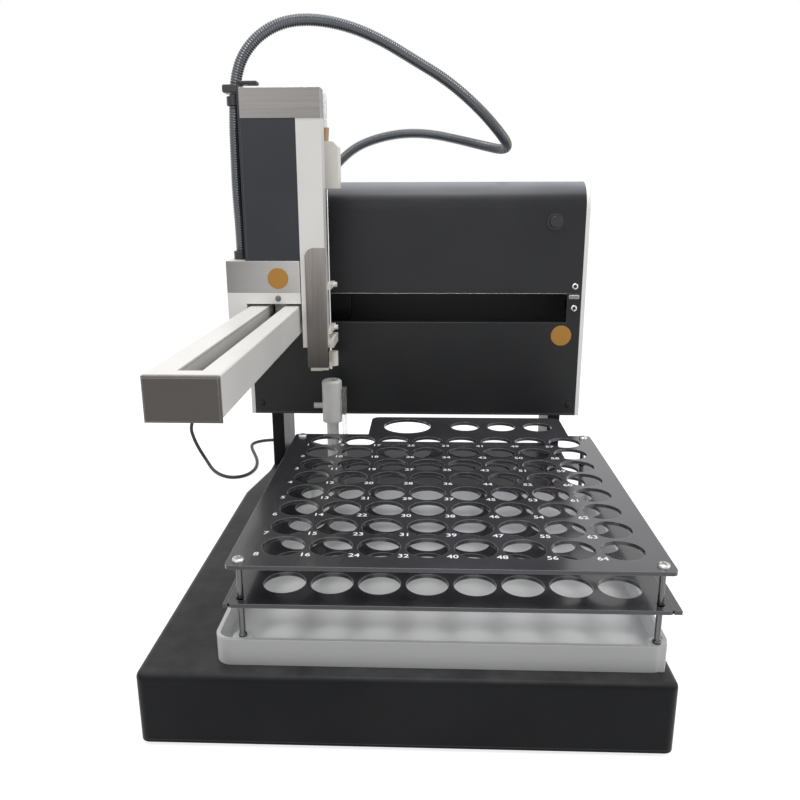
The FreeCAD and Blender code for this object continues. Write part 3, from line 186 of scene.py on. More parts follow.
# %% Build the hose
groove_pitch = 2.35 * mm
groove_depth = 0.55 * mm
groove_shape = (0.0, 0.0, 0.25, 1.0, 1.0, 0.25)
hose_curve = spline_curve("hose_line", hose_route)
hose_line = line_of(hose_curve)
bpy.data.objects.remove(hose_curve)
places, directions = even_steps(hose_line, groove_pitch / len(groove_shape))
radii = [hose_radius - groove_depth * groove_shape[i % len(groove_shape)] for i in range(len(places))]
hose = new_piece("corrugated_hose", tube_along(places, directions, radii), smooth_angle=60)

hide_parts("conduit_hose")
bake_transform(hose)

# %% [markdown]
# ### Power lead
# A thin round lead comes down from its plug at the back, lies on the table in a loose loop at the left and
# ends in a neat coil behind the base. The coil's turns are more points of the same spline: inward on the
# table, then back outward on top of the first turns. Points on a circle pull this kind of spline a little
# inside the circle, so they are set a little outside.

# %% Lead route
lead_radius = 2.3 * mm
on_table = 2.5
lead_route = [Vector(place) * mm for place in (
    (-138, 282, 167), (-138, 296, 167), (-152, 312, 166), (-190, 318, 158), (-235, 314, 140),
    (-275, 307, 115), (-303, 302, 88), (-317, 300, 62), (-313, 302, 42), (-307, 306, 24),
    (-299, 306, 10), (-291, 297, 3.5), (-281, 281, on_table), (-267, 265, on_table),
    (-250, 256, on_table), (-232, 265, on_table), (-225, 292, on_table), (-230, 325, on_table),
    (-241, 355, on_table), (-252, 383, on_table), (-256, 405, on_table), (-240, 421, on_table),
    (-206, 425, on_table), (-170, 413, on_table), (-138, 390, on_table), (-111, 367, on_table),
    (-85, 352, on_table), (-55, 345, on_table),
)]

# %% Coil turns
coil_centre = Vector((-26.0, 314.4)) * mm
outer_turn = 29.6
lead_width = 4.6
points_per_turn = 16
coil_turns = 5.5
outside_the_curve = 0.981
coil_places = []
for step in range(int(coil_turns * points_per_turn) + 1):
    turns_done = step / points_per_turn
    turns_inward = max(min(turns_done, 2.0, 5.0 - turns_done), 0.0)
    radius = (outer_turn - lead_width * turns_inward) * mm / outside_the_curve
    climbed = min(max(turns_done - 2.5, 0.0) / 0.5, 1.0)
    height = (on_table + lead_width * climbed) * mm
    angle = pi / 2 - 2 * pi * turns_done
    coil_places.append(Vector((coil_centre.x + radius * cos(angle), coil_centre.y + radius * sin(angle),
                               height)))
end_plug_low, end_plug_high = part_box("lead_end_plug")
stub_height = (end_plug_low.z + end_plug_high.z) / 2
stub_line = (end_plug_low.y + end_plug_high.y) / 2
coil_places += [Vector((x * mm, stub_line, stub_height)) for x in (-44, -60, -74)]
print(len(coil_places), "points in the coil")

lead_curve = spline_curve("lead_line", lead_route + coil_places)
lead_line = line_of(lead_curve)
bpy.data.objects.remove(lead_curve)
places, directions = even_steps(lead_line, 1.8 * mm)
lead = new_piece("power_lead_and_coil", tube_along(places, directions, [lead_radius] * len(places), sides=14))
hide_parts("power_lead", "lead_coil")
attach(lead, "base")

# %% [markdown]
# ## Finishes
# Real paint and plastic are never one flat colour. Four effects come back on most of this machine's surfaces:
# a fine grain, brush lines, a lighter edge colour that is wear on some finishes and a painted highlight on
# others, and a little dust on what faces up, which on the black base is also a painted sheen. A fifth group
# paints light and shade as a fade along one direction. Each is a node group with its own inputs, built once
# and placed in every material that needs it. Groups give out only masks and heights, and the shader stays in
# the material, so that each finish can be read and changed by itself.


# %% Helpers for node trees
def new_group(name, inputs, outputs):
    """A shader node group with number inputs and number outputs."""
    group = bpy.data.node_groups.new(name, "ShaderNodeTree")
    for label, value in inputs.items():
        kind = "NodeSocketVector" if isinstance(value, tuple) else "NodeSocketFloat"
        socket = group.interface.new_socket(label, in_out="INPUT", socket_type=kind)
        socket.default_value = value
    for label in outputs:
        kind = "NodeSocketVector" if label == "Normal" else "NodeSocketFloat"
        group.interface.new_socket(label, in_out="OUTPUT", socket_type=kind)
    start = group.nodes.new("NodeGroupInput")
    end = group.nodes.new("NodeGroupOutput")
    return group, start, end


def add(tree, kind, **settings):
    """A node with some of its own settings filled in."""
    node = tree.nodes.new(kind)
    for label, value in settings.items():
        setattr(node, label, value)
    return node


def join(tree, source, target):
    tree.links.new(source, target)


def math(tree, operation, first, second=None, clamp=False):
    """One Math node. Each input is a socket or a number."""
    node = add(tree, "ShaderNodeMath", operation=operation, use_clamp=clamp)
    for index, value in enumerate((first, second)):
        if value is None:
            continue
        if isinstance(value, (int, float)):
            node.inputs[index].default_value = value
        else:
            join(tree, value, node.inputs[index])
    return node.outputs[0]


def spread(tree, value, low, high, new_low, new_high):
    """Stretches the range from low to high over the range from new_low to new_high."""
    node = add(tree, "ShaderNodeMapRange")
    join(tree, value, node.inputs["Value"])
    for label, number in (("From Min", low), ("From Max", high), ("To Min", new_low), ("To Max", new_high)):
        node.inputs[label].default_value = number
    return node.outputs["Result"]


# %% [markdown]
# ### Grain
# Powder coat and moulded plastic have a fine, even roughness. Noise at two sizes gives it: small for the
# grain itself, large for the slow changes of tone that a big painted panel always has.

# %% Grain group
grain_group, start, end = new_group("fine_grain", {"Size": 0.0008, "Patch Size": 0.08}, ("Height", "Patches"))
place = add(grain_group, "ShaderNodeTexCoord")
for size_name, target, detail in (("Size", "Height", 2.0), ("Patch Size", "Patches", 3.0)):
    noise = add(grain_group, "ShaderNodeTexNoise")
    noise.inputs["Detail"].default_value = detail
    join(grain_group, place.outputs["Object"], noise.inputs["Vector"])
    join(grain_group, math(grain_group, "DIVIDE", 1.0, start.outputs[size_name]), noise.inputs["Scale"])
    join(grain_group, noise.outputs["Fac"], end.inputs[target])

# %% [markdown]
# ### Brush lines
# Brushed sheet shows thin lines in one direction. The same noise does it when space is squeezed along the
# brushing and stretched across it.

# %% Brush group
brush_group, start, end = new_group("brush_lines", {"Squeeze": (60.0, 3000.0, 3000.0)}, ("Height", "Streaks"))
place = add(brush_group, "ShaderNodeTexCoord")
squeezed = add(brush_group, "ShaderNodeVectorMath", operation="MULTIPLY")
join(brush_group, place.outputs["Object"], squeezed.inputs[0])
join(brush_group, start.outputs["Squeeze"], squeezed.inputs[1])
for scale, target in ((1.0, "Height"), (0.25, "Streaks")):
    noise = add(brush_group, "ShaderNodeTexNoise")
    noise.inputs["Scale"].default_value = scale
    noise.inputs["Detail"].default_value = 3.0
    join(brush_group, squeezed.outputs[0], noise.inputs["Vector"])
    join(brush_group, noise.outputs["Fac"], end.inputs[target])

# %% [markdown]
# ### Worn and highlighted edges
# Handling rubs paint thin along edges, and on some finishes the lighter edge colour is a painted highlight
# instead. The Bevel node gives the normal that a rounded edge would have, so the place where it differs from
# the real normal is an edge, whatever the mesh looks like.

# %% Edge group
edge_group, start, end = new_group("worn_and_highlit_edges", {"Width": 0.0006, "Breaks": 0.35}, ("Mask", "Normal"))
rounded = add(edge_group, "ShaderNodeBevel", samples=6)
join(edge_group, start.outputs["Width"], rounded.inputs["Radius"])
facing = add(edge_group, "ShaderNodeNewGeometry")
agreement = add(edge_group, "ShaderNodeVectorMath", operation="DOT_PRODUCT")
join(edge_group, rounded.outputs["Normal"], agreement.inputs[0])
join(edge_group, facing.outputs["Normal"], agreement.inputs[1])
edge = spread(edge_group, agreement.outputs["Value"], 0.995, 0.85, 0.0, 1.0)
place = add(edge_group, "ShaderNodeTexCoord")
noise = add(edge_group, "ShaderNodeTexNoise")
noise.inputs["Scale"].default_value = 90.0
join(edge_group, place.outputs["Object"], noise.inputs["Vector"])
gaps = math(edge_group, "MULTIPLY", noise.outputs["Fac"], start.outputs["Breaks"])
join(edge_group, math(edge_group, "SUBTRACT", edge, gaps, clamp=True), end.inputs["Mask"])
join(edge_group, rounded.outputs["Normal"], end.inputs["Normal"])

# %% [markdown]
# ### Dust and sheen
# A bench machine gathers a thin film of dust where it faces up. On the black base the same lighter film is
# also a painted sheen on the top faces. The mask is the upward part of the normal, broken up by noise.

# %% Dust group
dust_and_sheen_group, start, end = new_group("settled_dust_and_sheen", {"Amount": 0.3}, ("Mask",))
facing = add(dust_and_sheen_group, "ShaderNodeNewGeometry")
parts = add(dust_and_sheen_group, "ShaderNodeSeparateXYZ")
join(dust_and_sheen_group, facing.outputs["Normal"], parts.inputs[0])
upward_part = spread(dust_and_sheen_group, parts.outputs["Z"], 0.5, 1.0, 0.0, 1.0)
place = add(dust_and_sheen_group, "ShaderNodeTexCoord")
noise = add(dust_and_sheen_group, "ShaderNodeTexNoise")
noise.inputs["Scale"].default_value = 45.0
noise.inputs["Detail"].default_value = 6.0
join(dust_and_sheen_group, place.outputs["Object"], noise.inputs["Vector"])
dust_and_sheen_film = math(dust_and_sheen_group, "MULTIPLY", upward_part, noise.outputs["Fac"])
join(dust_and_sheen_group, math(dust_and_sheen_group, "MULTIPLY", dust_and_sheen_film, start.outputs["Amount"], clamp=True), end.inputs["Mask"])

# %% [markdown]
# ### Painted light and shade
# Several surfaces get painted light and shade that goes evenly from a dark to a light tone, such as a painted
# reflection across the block's band and a painted highlight along the cabinet's bend. The group measures how
# far a point lies along a direction and turns that into a share of the colour.

# %% Fade group
painted_light_inputs = {"Direction": (1.0, 0.0, 0.0), "From": 0.0, "To": 1.0, "First Share": 0.5, "Last Share": 1.0}
painted_light_group, start, end = new_group("painted_light_and_shade", painted_light_inputs, ("Share",))
place = add(painted_light_group, "ShaderNodeTexCoord")
along = add(painted_light_group, "ShaderNodeVectorMath", operation="DOT_PRODUCT")
join(painted_light_group, place.outputs["Object"], along.inputs[0])
join(painted_light_group, start.outputs["Direction"], along.inputs[1])
stretch = add(painted_light_group, "ShaderNodeMapRange")
join(painted_light_group, along.outputs["Value"], stretch.inputs["Value"])
for label, source in (("From Min", "From"), ("From Max", "To"), ("To Min", "First Share"),
                      ("To Max", "Last Share")):
    join(painted_light_group, start.outputs[source], stretch.inputs[label])
join(painted_light_group, stretch.outputs["Result"], end.inputs["Share"])
print(len(bpy.data.node_groups), "effect groups")


# %% [markdown]
# ### One builder for the plain finishes
# Paint, plastic and metal share one layout here: a base colour that drifts between two tones, a rim colour
# where edges are worn or carry a painted highlight, dust and painted sheen on top, an optional fade of
# painted light and shade, and a bump from the grain or the brush lines. Constants such as the metallic value
# go straight on the shader's own sockets.

# %% Finish builder
def finish(name, tones, roughness, grain=0.0008, bump=0.05, edge_tone=None, edge_width=0.0006, dust_and_sheen=0.0,
           metallic=0.0, coat=0.0, squeeze=None, shine=0.5, painted_fade=None):
    """A material whose colour runs between two tones, with its grain or brush lines in the bump.

    A painted fade is (direction, from, to, first share, last share): painted light and shade, as the colour's
    strength at two places in metres along a direction.
    """
    material = bpy.data.materials.new(name)
    material.use_nodes = True
    tree = material.node_tree
    shader = tree.nodes["Principled BSDF"]
    shader.inputs["Metallic"].default_value = metallic
    shader.inputs["Specular IOR Level"].default_value = shine
    shader.inputs["Coat Weight"].default_value = coat
    shader.inputs["Coat Roughness"].default_value = 0.08

    texture = add(tree, "ShaderNodeGroup", node_tree=brush_group if squeeze else grain_group)
    if squeeze:
        texture.inputs["Squeeze"].default_value = squeeze
        slow = texture.outputs["Streaks"]
    else:
        texture.inputs["Size"].default_value = grain
        slow = texture.outputs["Patches"]

    colour = add(tree, "ShaderNodeMix", data_type="RGBA")
    colour.inputs["A"].default_value = (*tones[0], 1)
    colour.inputs["B"].default_value = (*tones[1], 1)
    join(tree, spread(tree, slow, 0.35, 0.65, 0.0, 1.0), colour.inputs["Factor"])
    last = colour.outputs["Result"]
    if painted_fade:
        painted_fading = add(tree, "ShaderNodeGroup", node_tree=painted_light_group)
        for label, value in zip(painted_light_inputs, painted_fade):
            painted_fading.inputs[label].default_value = value
        painted_faded = add(tree, "ShaderNodeVectorMath", operation="SCALE")
        join(tree, last, painted_faded.inputs[0])
        join(tree, painted_fading.outputs["Share"], painted_faded.inputs["Scale"])
        last = painted_faded.outputs[0]

    edges = add(tree, "ShaderNodeGroup", node_tree=edge_group)
    edges.inputs["Width"].default_value = edge_width
    if edge_tone:
        worn_and_highlit = add(tree, "ShaderNodeMix", data_type="RGBA")
        worn_and_highlit.inputs["B"].default_value = (*edge_tone, 1)
        join(tree, last, worn_and_highlit.inputs["A"])
        join(tree, edges.outputs["Mask"], worn_and_highlit.inputs["Factor"])
        last = worn_and_highlit.outputs["Result"]
    rough = spread(tree, slow, 0.3, 0.7, roughness - 0.04, roughness + 0.04)
    if dust_and_sheen:
        dust_and_sheen_film = add(tree, "ShaderNodeGroup", node_tree=dust_and_sheen_group)
        dust_and_sheen_film.inputs["Amount"].default_value = dust_and_sheen
        with_dust_and_sheen = add(tree, "ShaderNodeMix", data_type="RGBA")
        with_dust_and_sheen.inputs["B"].default_value = (0.42, 0.41, 0.40, 1)
        join(tree, last, with_dust_and_sheen.inputs["A"])
        join(tree, dust_and_sheen_film.outputs["Mask"], with_dust_and_sheen.inputs["Factor"])
        last = with_dust_and_sheen.outputs["Result"]
        rough = math(tree, "ADD", rough, math(tree, "MULTIPLY", dust_and_sheen_film.outputs["Mask"], 0.5), clamp=True)
    join(tree, last, shader.inputs["Base Color"])
    join(tree, rough, shader.inputs["Roughness"])

    relief = add(tree, "ShaderNodeBump")
    relief.inputs["Strength"].default_value = bump
    relief.inputs["Distance"].default_value = 0.0003
    join(tree, texture.outputs["Height"], relief.inputs["Height"])
    join(tree, edges.outputs["Normal"], relief.inputs["Normal"])
    join(tree, relief.outputs["Normal"], shader.inputs["Normal"])
    return material


# %% Paints
# On the black base the lighter dust film on top is also a painted sheen.
black_coat = finish("black_powder_coat", ((0.008, 0.0085, 0.010), (0.013, 0.0135, 0.015)), 0.34, grain=0.0009,
                    bump=0.18, edge_tone=(0.07, 0.07, 0.075), edge_width=0.0009, dust_and_sheen=0.20, shine=0.10)
charcoal_coat = finish("charcoal_coat", ((0.024, 0.027, 0.032), (0.031, 0.034, 0.040)), 0.36, grain=0.0007,
                       bump=0.15, edge_tone=(0.16, 0.165, 0.17), dust_and_sheen=0.04, shine=0.3)
# The upper cover is the charcoal coat with a painted highlight along its top bend, up to nine times the
# colour.
highlit_upper_coat = finish("upper_cover_coat_painted_highlight", ((0.024, 0.0245, 0.028), (0.031, 0.0315, 0.035)), 0.34, grain=0.0007,
                    bump=0.15, edge_tone=(0.16, 0.165, 0.17), dust_and_sheen=0.05, shine=0.25,
                    painted_fade=((0, 0, 1), 0.373, 0.384, 0.85, 9.0))
# The lower cover is a darker copy of the charcoal coat, painted shade, and its pale edge colour is a painted
# highlight along its edges.
shaded_lower_coat = finish("lower_cover_coat_painted_shade", ((0.014, 0.0145, 0.016), (0.019, 0.0195, 0.021)), 0.36, grain=0.0007,
                    bump=0.15, edge_tone=(0.20, 0.205, 0.21), dust_and_sheen=0.04, shine=0.25)
cream_coat = finish("cream_coat", ((0.80, 0.785, 0.76), (0.84, 0.83, 0.805)), 0.36, grain=0.0010, bump=0.12,
                    edge_tone=(0.90, 0.90, 0.89), dust_and_sheen=0.05)
plate_coat = finish("end_plate_coat", ((0.88, 0.875, 0.86), (0.91, 0.905, 0.89)), 0.32, grain=0.0010,
                    bump=0.10, edge_tone=(0.95, 0.95, 0.94), edge_width=0.0004)
black_paint = finish("matt_black_paint", ((0.010, 0.010, 0.011), (0.016, 0.016, 0.017)), 0.55, bump=0.2,
                     edge_tone=(0.10, 0.10, 0.10))

# %% Metals
# The band's fade paints it darker on the left and lighter to the right, a painted reflection.
band_steel = finish("band_steel", ((0.625, 0.61, 0.595), (0.66, 0.645, 0.63)), 0.36, bump=0.04,
                    edge_tone=(0.80, 0.80, 0.79), edge_width=0.0005, metallic=1.0,
                    squeeze=(30.0, 2200.0, 2200.0), painted_fade=((1, 0, 0), -0.180, -0.108, 0.30, 0.70))
cap_steel = finish("cap_steel", ((0.20, 0.192, 0.185), (0.24, 0.23, 0.22)), 0.38, bump=0.05,
                   edge_tone=(0.62, 0.62, 0.61), edge_width=0.0006, metallic=1.0,
                   squeeze=(40.0, 2200.0, 2200.0))
# The guard's fade paints painted shade towards its bottom, lighter towards the top.
guard_steel = finish("guard_steel", ((0.30, 0.275, 0.255), (0.37, 0.34, 0.32)), 0.36, bump=0.06,
                     edge_tone=(0.30, 0.29, 0.28), edge_width=0.0004, metallic=1.0,
                     squeeze=(2600.0, 2600.0, 45.0), painted_fade=((0, 0, 1), 0.209, 0.325, 0.17, 0.80))
polished_steel = finish("polished_steel", ((0.62, 0.62, 0.62), (0.72, 0.72, 0.72)), 0.20, bump=0.04,
                        edge_tone=(0.85, 0.85, 0.85), metallic=1.0, squeeze=(3000.0, 3000.0, 120.0))
post_steel = finish("post_steel", ((0.10, 0.10, 0.105), (0.15, 0.15, 0.155)), 0.24, bump=0.04,
                    edge_tone=(0.5, 0.5, 0.5), edge_width=0.0003, metallic=1.0,
                    squeeze=(3000.0, 3000.0, 120.0))
dark_zinc = finish("dark_zinc_sheet", ((0.035, 0.036, 0.037), (0.05, 0.051, 0.052)), 0.42, grain=0.004,
                   bump=0.06, edge_tone=(0.15, 0.15, 0.15), metallic=1.0)
turned_aluminium = finish("turned_aluminium", ((0.55, 0.55, 0.56), (0.66, 0.66, 0.67)), 0.32, bump=0.06,
                          edge_tone=(0.85, 0.85, 0.85), metallic=1.0, squeeze=(2500.0, 2500.0, 2500.0))
black_anodised = finish("black_anodised", ((0.020, 0.020, 0.022), (0.030, 0.030, 0.032)), 0.40, bump=0.06,
                        edge_tone=(0.10, 0.10, 0.10), metallic=1.0)
pale_screw_steel = finish("pale_screw_steel", ((0.60, 0.60, 0.58), (0.72, 0.72, 0.70)), 0.30, grain=0.0006,
                          bump=0.05, edge_tone=(0.9, 0.9, 0.88), edge_width=0.0002, metallic=0.85)
black_screw_steel = finish("black_screw_steel", ((0.016, 0.016, 0.017), (0.024, 0.024, 0.025)), 0.40,
                           grain=0.0006, bump=0.05, edge_tone=(0.07, 0.07, 0.07), edge_width=0.0002,
                           metallic=0.6)

# %% Plastics and rubber
# The plates' fade paints them lighter towards the right, a painted sheen, and their pale edge colour is a
# painted highlight on edges and hole rims.
charcoal_plate = finish("charcoal_plate", ((0.022, 0.022, 0.026), (0.032, 0.031, 0.036)), 0.20, grain=0.0012,
                        bump=0.05, edge_tone=(0.40, 0.41, 0.42), edge_width=0.0006, dust_and_sheen=0.03, coat=0.3,
                        painted_fade=((1, 0, 0), -0.121, 0.181, 0.85, 1.9))
# The tray's fade paints its front face darker over the first four millimetres, painted shade.
white_tray = finish("white_tray", ((0.82, 0.825, 0.83), (0.86, 0.865, 0.87)), 0.40, grain=0.0012, bump=0.10,
                    edge_tone=(0.92, 0.92, 0.92), dust_and_sheen=0.03, painted_fade=((0, 1, 0), -0.2463, -0.2425, 0.58, 1.03))
cream_plastic = finish("cream_plastic", ((0.86, 0.84, 0.77), (0.90, 0.88, 0.81)), 0.38, bump=0.08,
                       edge_tone=(0.88, 0.87, 0.82), edge_width=0.0004)
tan_plastic = finish("tan_plastic", ((0.42, 0.27, 0.13), (0.50, 0.33, 0.17)), 0.35, bump=0.06)
black_plastic = finish("black_plastic", ((0.014, 0.014, 0.015), (0.022, 0.022, 0.023)), 0.38, bump=0.15,
                       edge_tone=(0.09, 0.09, 0.09), edge_width=0.0004)
black_rubber = finish("black_rubber", ((0.012, 0.012, 0.013), (0.020, 0.020, 0.021)), 0.50, grain=0.0005,
                      bump=0.15, dust_and_sheen=0.05)
belt_polymer = finish("belt_polymer", ((0.22, 0.21, 0.19), (0.28, 0.27, 0.24)), 0.45, bump=0.08)
# The hose's pale bluish edge colour is a painted highlight on the rims of its rings.
hose_skin = finish("hose_skin", ((0.026, 0.032, 0.043), (0.040, 0.050, 0.066)), 0.20, grain=0.0006, bump=0.08,
                   edge_tone=(0.16, 0.19, 0.24), edge_width=0.0003, dust_and_sheen=0.16, coat=0.8)
board_green = finish("board_green", ((0.012, 0.10, 0.04), (0.02, 0.15, 0.06)), 0.30, grain=0.003, bump=0.10)
# The end cap's light grey edge colour, 1.4 mm wide, is a painted highlight on its chamfer.
end_cap_grey = finish("end_cap_grey", ((0.066, 0.058, 0.054), (0.082, 0.072, 0.066)), 0.40, grain=0.0009,
                      bump=0.10, edge_tone=(0.46, 0.48, 0.50), edge_width=0.0014)
amber_vinyl = finish("amber_vinyl", ((0.44, 0.225, 0.055), (0.50, 0.26, 0.065)), 0.55, grain=0.002, bump=0.04,
                     shine=0.1)
number_ink = finish("number_ink", ((0.90, 0.90, 0.89), (0.95, 0.95, 0.94)), 0.5, bump=0.05)
slot_screw_steel = finish("slot_screw_steel", ((0.16, 0.165, 0.15), (0.21, 0.215, 0.20)), 0.36, grain=0.0006,
                          bump=0.05, edge_tone=(0.4, 0.4, 0.38), edge_width=0.0002, metallic=0.85)

# %% [markdown]
# ### See-through plastics
# The rinse tube is milky: light goes in and comes out softened, which is what subsurface scattering is for.
# The plate beside it and the sleeve are clear, so they transmit. Their roughness still varies a little, as on
# any piece that has been handled.


# %% Milky and clear plastic
def see_through(name, colour, roughness, transmission, scatter):
    material = bpy.data.materials.new(name)
    material.use_nodes = True
    tree = material.node_tree
    shader = tree.nodes["Principled BSDF"]
    shader.inputs["Base Color"].default_value = (*colour, 1)
    shader.inputs["Transmission Weight"].default_value = transmission
    shader.inputs["IOR"].default_value = 1.46
    shader.inputs["Subsurface Weight"].default_value = scatter
    shader.inputs["Subsurface Radius"].default_value = (0.006, 0.0055, 0.005)
    shader.inputs["Subsurface Scale"].default_value = 1.0
    texture = add(tree, "ShaderNodeGroup", node_tree=grain_group)
    texture.inputs["Size"].default_value = 0.0015
    texture.inputs["Patch Size"].default_value = 0.02
    join(tree, spread(tree, texture.outputs["Patches"], 0.3, 0.7, roughness - 0.05, roughness + 0.08),
         shader.inputs["Roughness"])
    relief = add(tree, "ShaderNodeBump")
    relief.inputs["Strength"].default_value = 0.06
    relief.inputs["Distance"].default_value = 0.0003
    join(tree, texture.outputs["Height"], relief.inputs["Height"])
    join(tree, relief.outputs["Normal"], shader.inputs["Normal"])
    return material


milky_plastic = see_through("milky_plastic", (0.90, 0.89, 0.86), 0.30, 0.30, 0.6)
clear_plastic = see_through("clear_plastic", (0.92, 0.94, 0.93), 0.12, 0.9, 0.0)

# %% [markdown]
# ### Which node wears which finish
# A CAD node whose shape is right keeps its mesh and only gets a better material in its slots.

# %% Dress the CAD nodes
finish_of = {
    black_coat: ("base_plate", "base_cover", "rear_plinth", "pillars"),
    charcoal_coat: ("back_panel", "tower_front_panel", "tower_housing"),
    highlit_upper_coat: ("upper_cover",),
    shaded_lower_coat: ("lower_cover",),
    cream_coat: ("beam_channel", "carriage_block", "tower_side_column"),
    plate_coat: ("end_plates",),
    black_paint: ("cabinet_chassis", "rail_plate", "x_motor", "y_motor", "z_motor"),
    band_steel: ("block_front_plate",),
    cap_steel: ("tower_top_cap",),
    guard_steel: ("probe_guard",),
    polished_steel: ("x_rail", "y_rail", "rack_posts", "guide_rod", "needle", "z_screw", "rack_screws",
                     "cabinet_screws"),
    dark_zinc: ("hose_mast",),
    black_anodised: ("x_carriage",),
    turned_aluminium: ("x_drive_pulley", "x_idler_pulley", "y_drive_pulley", "y_idler_pulley", "z_nut_block"),
    charcoal_plate: ("rack_top_plate", "rack_middle_plate"),
    white_tray: ("tray",),
    cream_plastic: ("probe_holder", "needle_guides"),
    tan_plastic: ("probe_fitting",),
    black_plastic: ("push_button", "button_housing", "power_inlet", "power_plug", "lead_end_plug",
                    "hose_gland", "hose_clips", "beam_end_cap"),
    black_rubber: ("feet", "x_belt", "power_lead", "lead_coil"),
    belt_polymer: ("y_belt",),
    hose_skin: ("conduit_hose",),
    board_green: ("control_board",),
    milky_plastic: ("wash_tube",),
    clear_plastic: ("wash_bracket", "probe_sleeve"),
}
for material, names in finish_of.items():
    for name in names:
        for slot in nodes[name].material_slots:
            slot.material = material
hose.data.materials.append(hose_skin)
lead.data.materials.append(black_rubber)
dressed = {name for names in finish_of.values() for name in names}
print("nodes without a finish:", sorted(set(nodes) - dressed))

# %% [markdown]
# ## Screws
# The machine shows three kinds: two bright hex sockets at the cabinet's right edge, black pan heads elsewhere
# on it and pale pan heads on the rack. CAD has them as plain discs. A head is turned from a profile, then a
# cross or a hexagon is cut out of it. A boolean cut keeps the recess's walls crisp, which a bump can't do at
# this size.


# %% Turn a profile about an axis
def turned(profile, sides=28):
    """A closed body of revolution about Z from (radius, height) pairs, from bottom centre to top centre."""
    mesh = bmesh.new()
    rings = []
    for radius, height in profile:
        if radius == 0:
            rings.append([mesh.verts.new((0, 0, height))] * sides)
        else:
            angles = [2 * pi * side / sides for side in range(sides)]
            rings.append([mesh.verts.new((radius * cos(a), radius * sin(a), height)) for a in angles])
    for before, after in zip(rings, rings[1:]):
        for side in range(sides):
            following = (side + 1) % sides
            corners = (before[side], before[following], after[following], after[side])
            mesh.faces.new(list(dict.fromkeys(corners)))
    return mesh


def block(mesh, low, high):
    """Adds a box between two corners to a bmesh."""
    made = bmesh.ops.create_cube(mesh, size=1.0)
    low, high = Vector(low), Vector(high)
    for vertex in made["verts"]:
        vertex.co = Vector(((low[i] + high[i]) / 2 + vertex.co[i] * (high[i] - low[i]) for i in range(3)))
    return made["verts"]


def mesh_of(shape):
    """A mesh made from a bmesh, without an object."""
    mesh = bpy.data.meshes.new("part")
    bmesh.ops.recalc_face_normals(shape, faces=shape.faces)
    shape.to_mesh(mesh)
    shape.free()
    return mesh


# %% A head with a recess
def pan_head(radius, height, recess_depth, hexagon=False):
    """Mesh of one screw head, its seat at z = 0 and its top towards +Z."""
    profile = [(0, 0), (radius, 0), (radius, 0.45 * height), (0.93 * radius, 0.72 * height),
               (0.78 * radius, 0.90 * height), (0.5 * radius, height), (0, height)]
    head = new_piece("screw_head", turned(profile))
    arm, half = 0.62 * radius, 0.13 * radius
    if hexagon:
        recess = turned([(0, height - recess_depth), (arm, height - recess_depth), (arm, height + radius),
                         (0, height + radius)], sides=6)
    else:
        recess = bmesh.new()
        block(recess, (-arm, -half, height - recess_depth), (arm, half, height + radius))
        block(recess, (-half, -arm, height - recess_depth), (half, arm, height + radius))
    cutter = new_piece("recess", recess)
    cut = head.modifiers.new("recess", "BOOLEAN")
    cut.operation = "DIFFERENCE"
    cut.solver = "EXACT"
    cut.use_self = True
    cut.object = cutter
    bpy.context.view_layer.update()
    result = bpy.data.meshes.new_from_object(head.evaluated_get(bpy.context.evaluated_depsgraph_get()))
    for spare in (head, cutter):
        bpy.data.objects.remove(spare)
    return result


def place_copies(name, part, placements, material, body, replaced=None):
    """One piece made of many copies of a mesh, each with its own matrix."""
    whole = bmesh.new()
    for placement in placements:
        copy = part.copy()
        copy.transform(placement)
        whole.from_mesh(copy)
        bpy.data.meshes.remove(copy)
    piece = new_piece(name, whole)
    piece.data.materials.clear()
    piece.data.materials.append(material)
    if replaced:
        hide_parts(replaced)
    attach(piece, body)
    return piece


def facing_matrix(place, direction, spin=0.0):
    """Puts a part that points along Z at a place, pointing along a direction."""
    aim = Vector(direction).to_track_quat("Z", "Y").to_matrix().to_4x4()
    return Matrix.Translation(place) @ aim @ Matrix.Rotation(spin, 4, "Z")


# %% Islands of a node
def islands(node):
    """The box of each separate solid in a CAD node, as (low, high) pairs."""
    mesh = bmesh.new()
    mesh.from_mesh(nodes[node].data)
    bmesh.ops.remove_doubles(mesh, verts=mesh.verts, dist=1e-6)
    unseen = set(mesh.verts)
    found = []
    while unseen:
        stack = [unseen.pop()]
        group = [stack[0]]
        while stack:
            for edge in stack.pop().link_edges:
                for vertex in edge.verts:
                    if vertex in unseen:
                        unseen.remove(vertex)
                        stack.append(vertex)
                        group.append(vertex)
        found.append((Vector(min(v.co[i] for v in group) for i in range(3)),
                      Vector(max(v.co[i] for v in group) for i in range(3))))
    mesh.free()
    return sorted(found, key=lambda pair: tuple(round(c, 4) for c in pair[0]))


# %% Cabinet screws
cover_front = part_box("upper_cover")[0].y
cover_heads = []
socket_heads = []
for number, (low, high) in enumerate(islands("cabinet_screws")):
    centre = (low + high) / 2
    spin = 0.4 + 0.9 * number
    if high.y - low.y < high.x - low.x:
        head = facing_matrix(Vector((centre.x, high.y, centre.z)), (0, -1, 0), spin)
        beside_slot = centre.x > 0.15 and 0.22 < centre.z < 0.30
        (socket_heads if beside_slot else cover_heads).append(head)
    else:
        outward = 1 if centre.x > 0 else -1
        seat = low.x if outward > 0 else high.x
        cover_heads.append(facing_matrix(Vector((seat, centre.y, centre.z)), (outward, 0, 0), spin))
cover_screw = pan_head(3.4 * mm, 1.8 * mm, 1.0 * mm)
place_copies("cover_screws", cover_screw, cover_heads, black_screw_steel, "base", "cabinet_screws")
socket_screw = pan_head(3.4 * mm, 1.8 * mm, 1.4 * mm, hexagon=True)
place_copies("socket_screws", socket_screw, socket_heads, pale_screw_steel, "base")
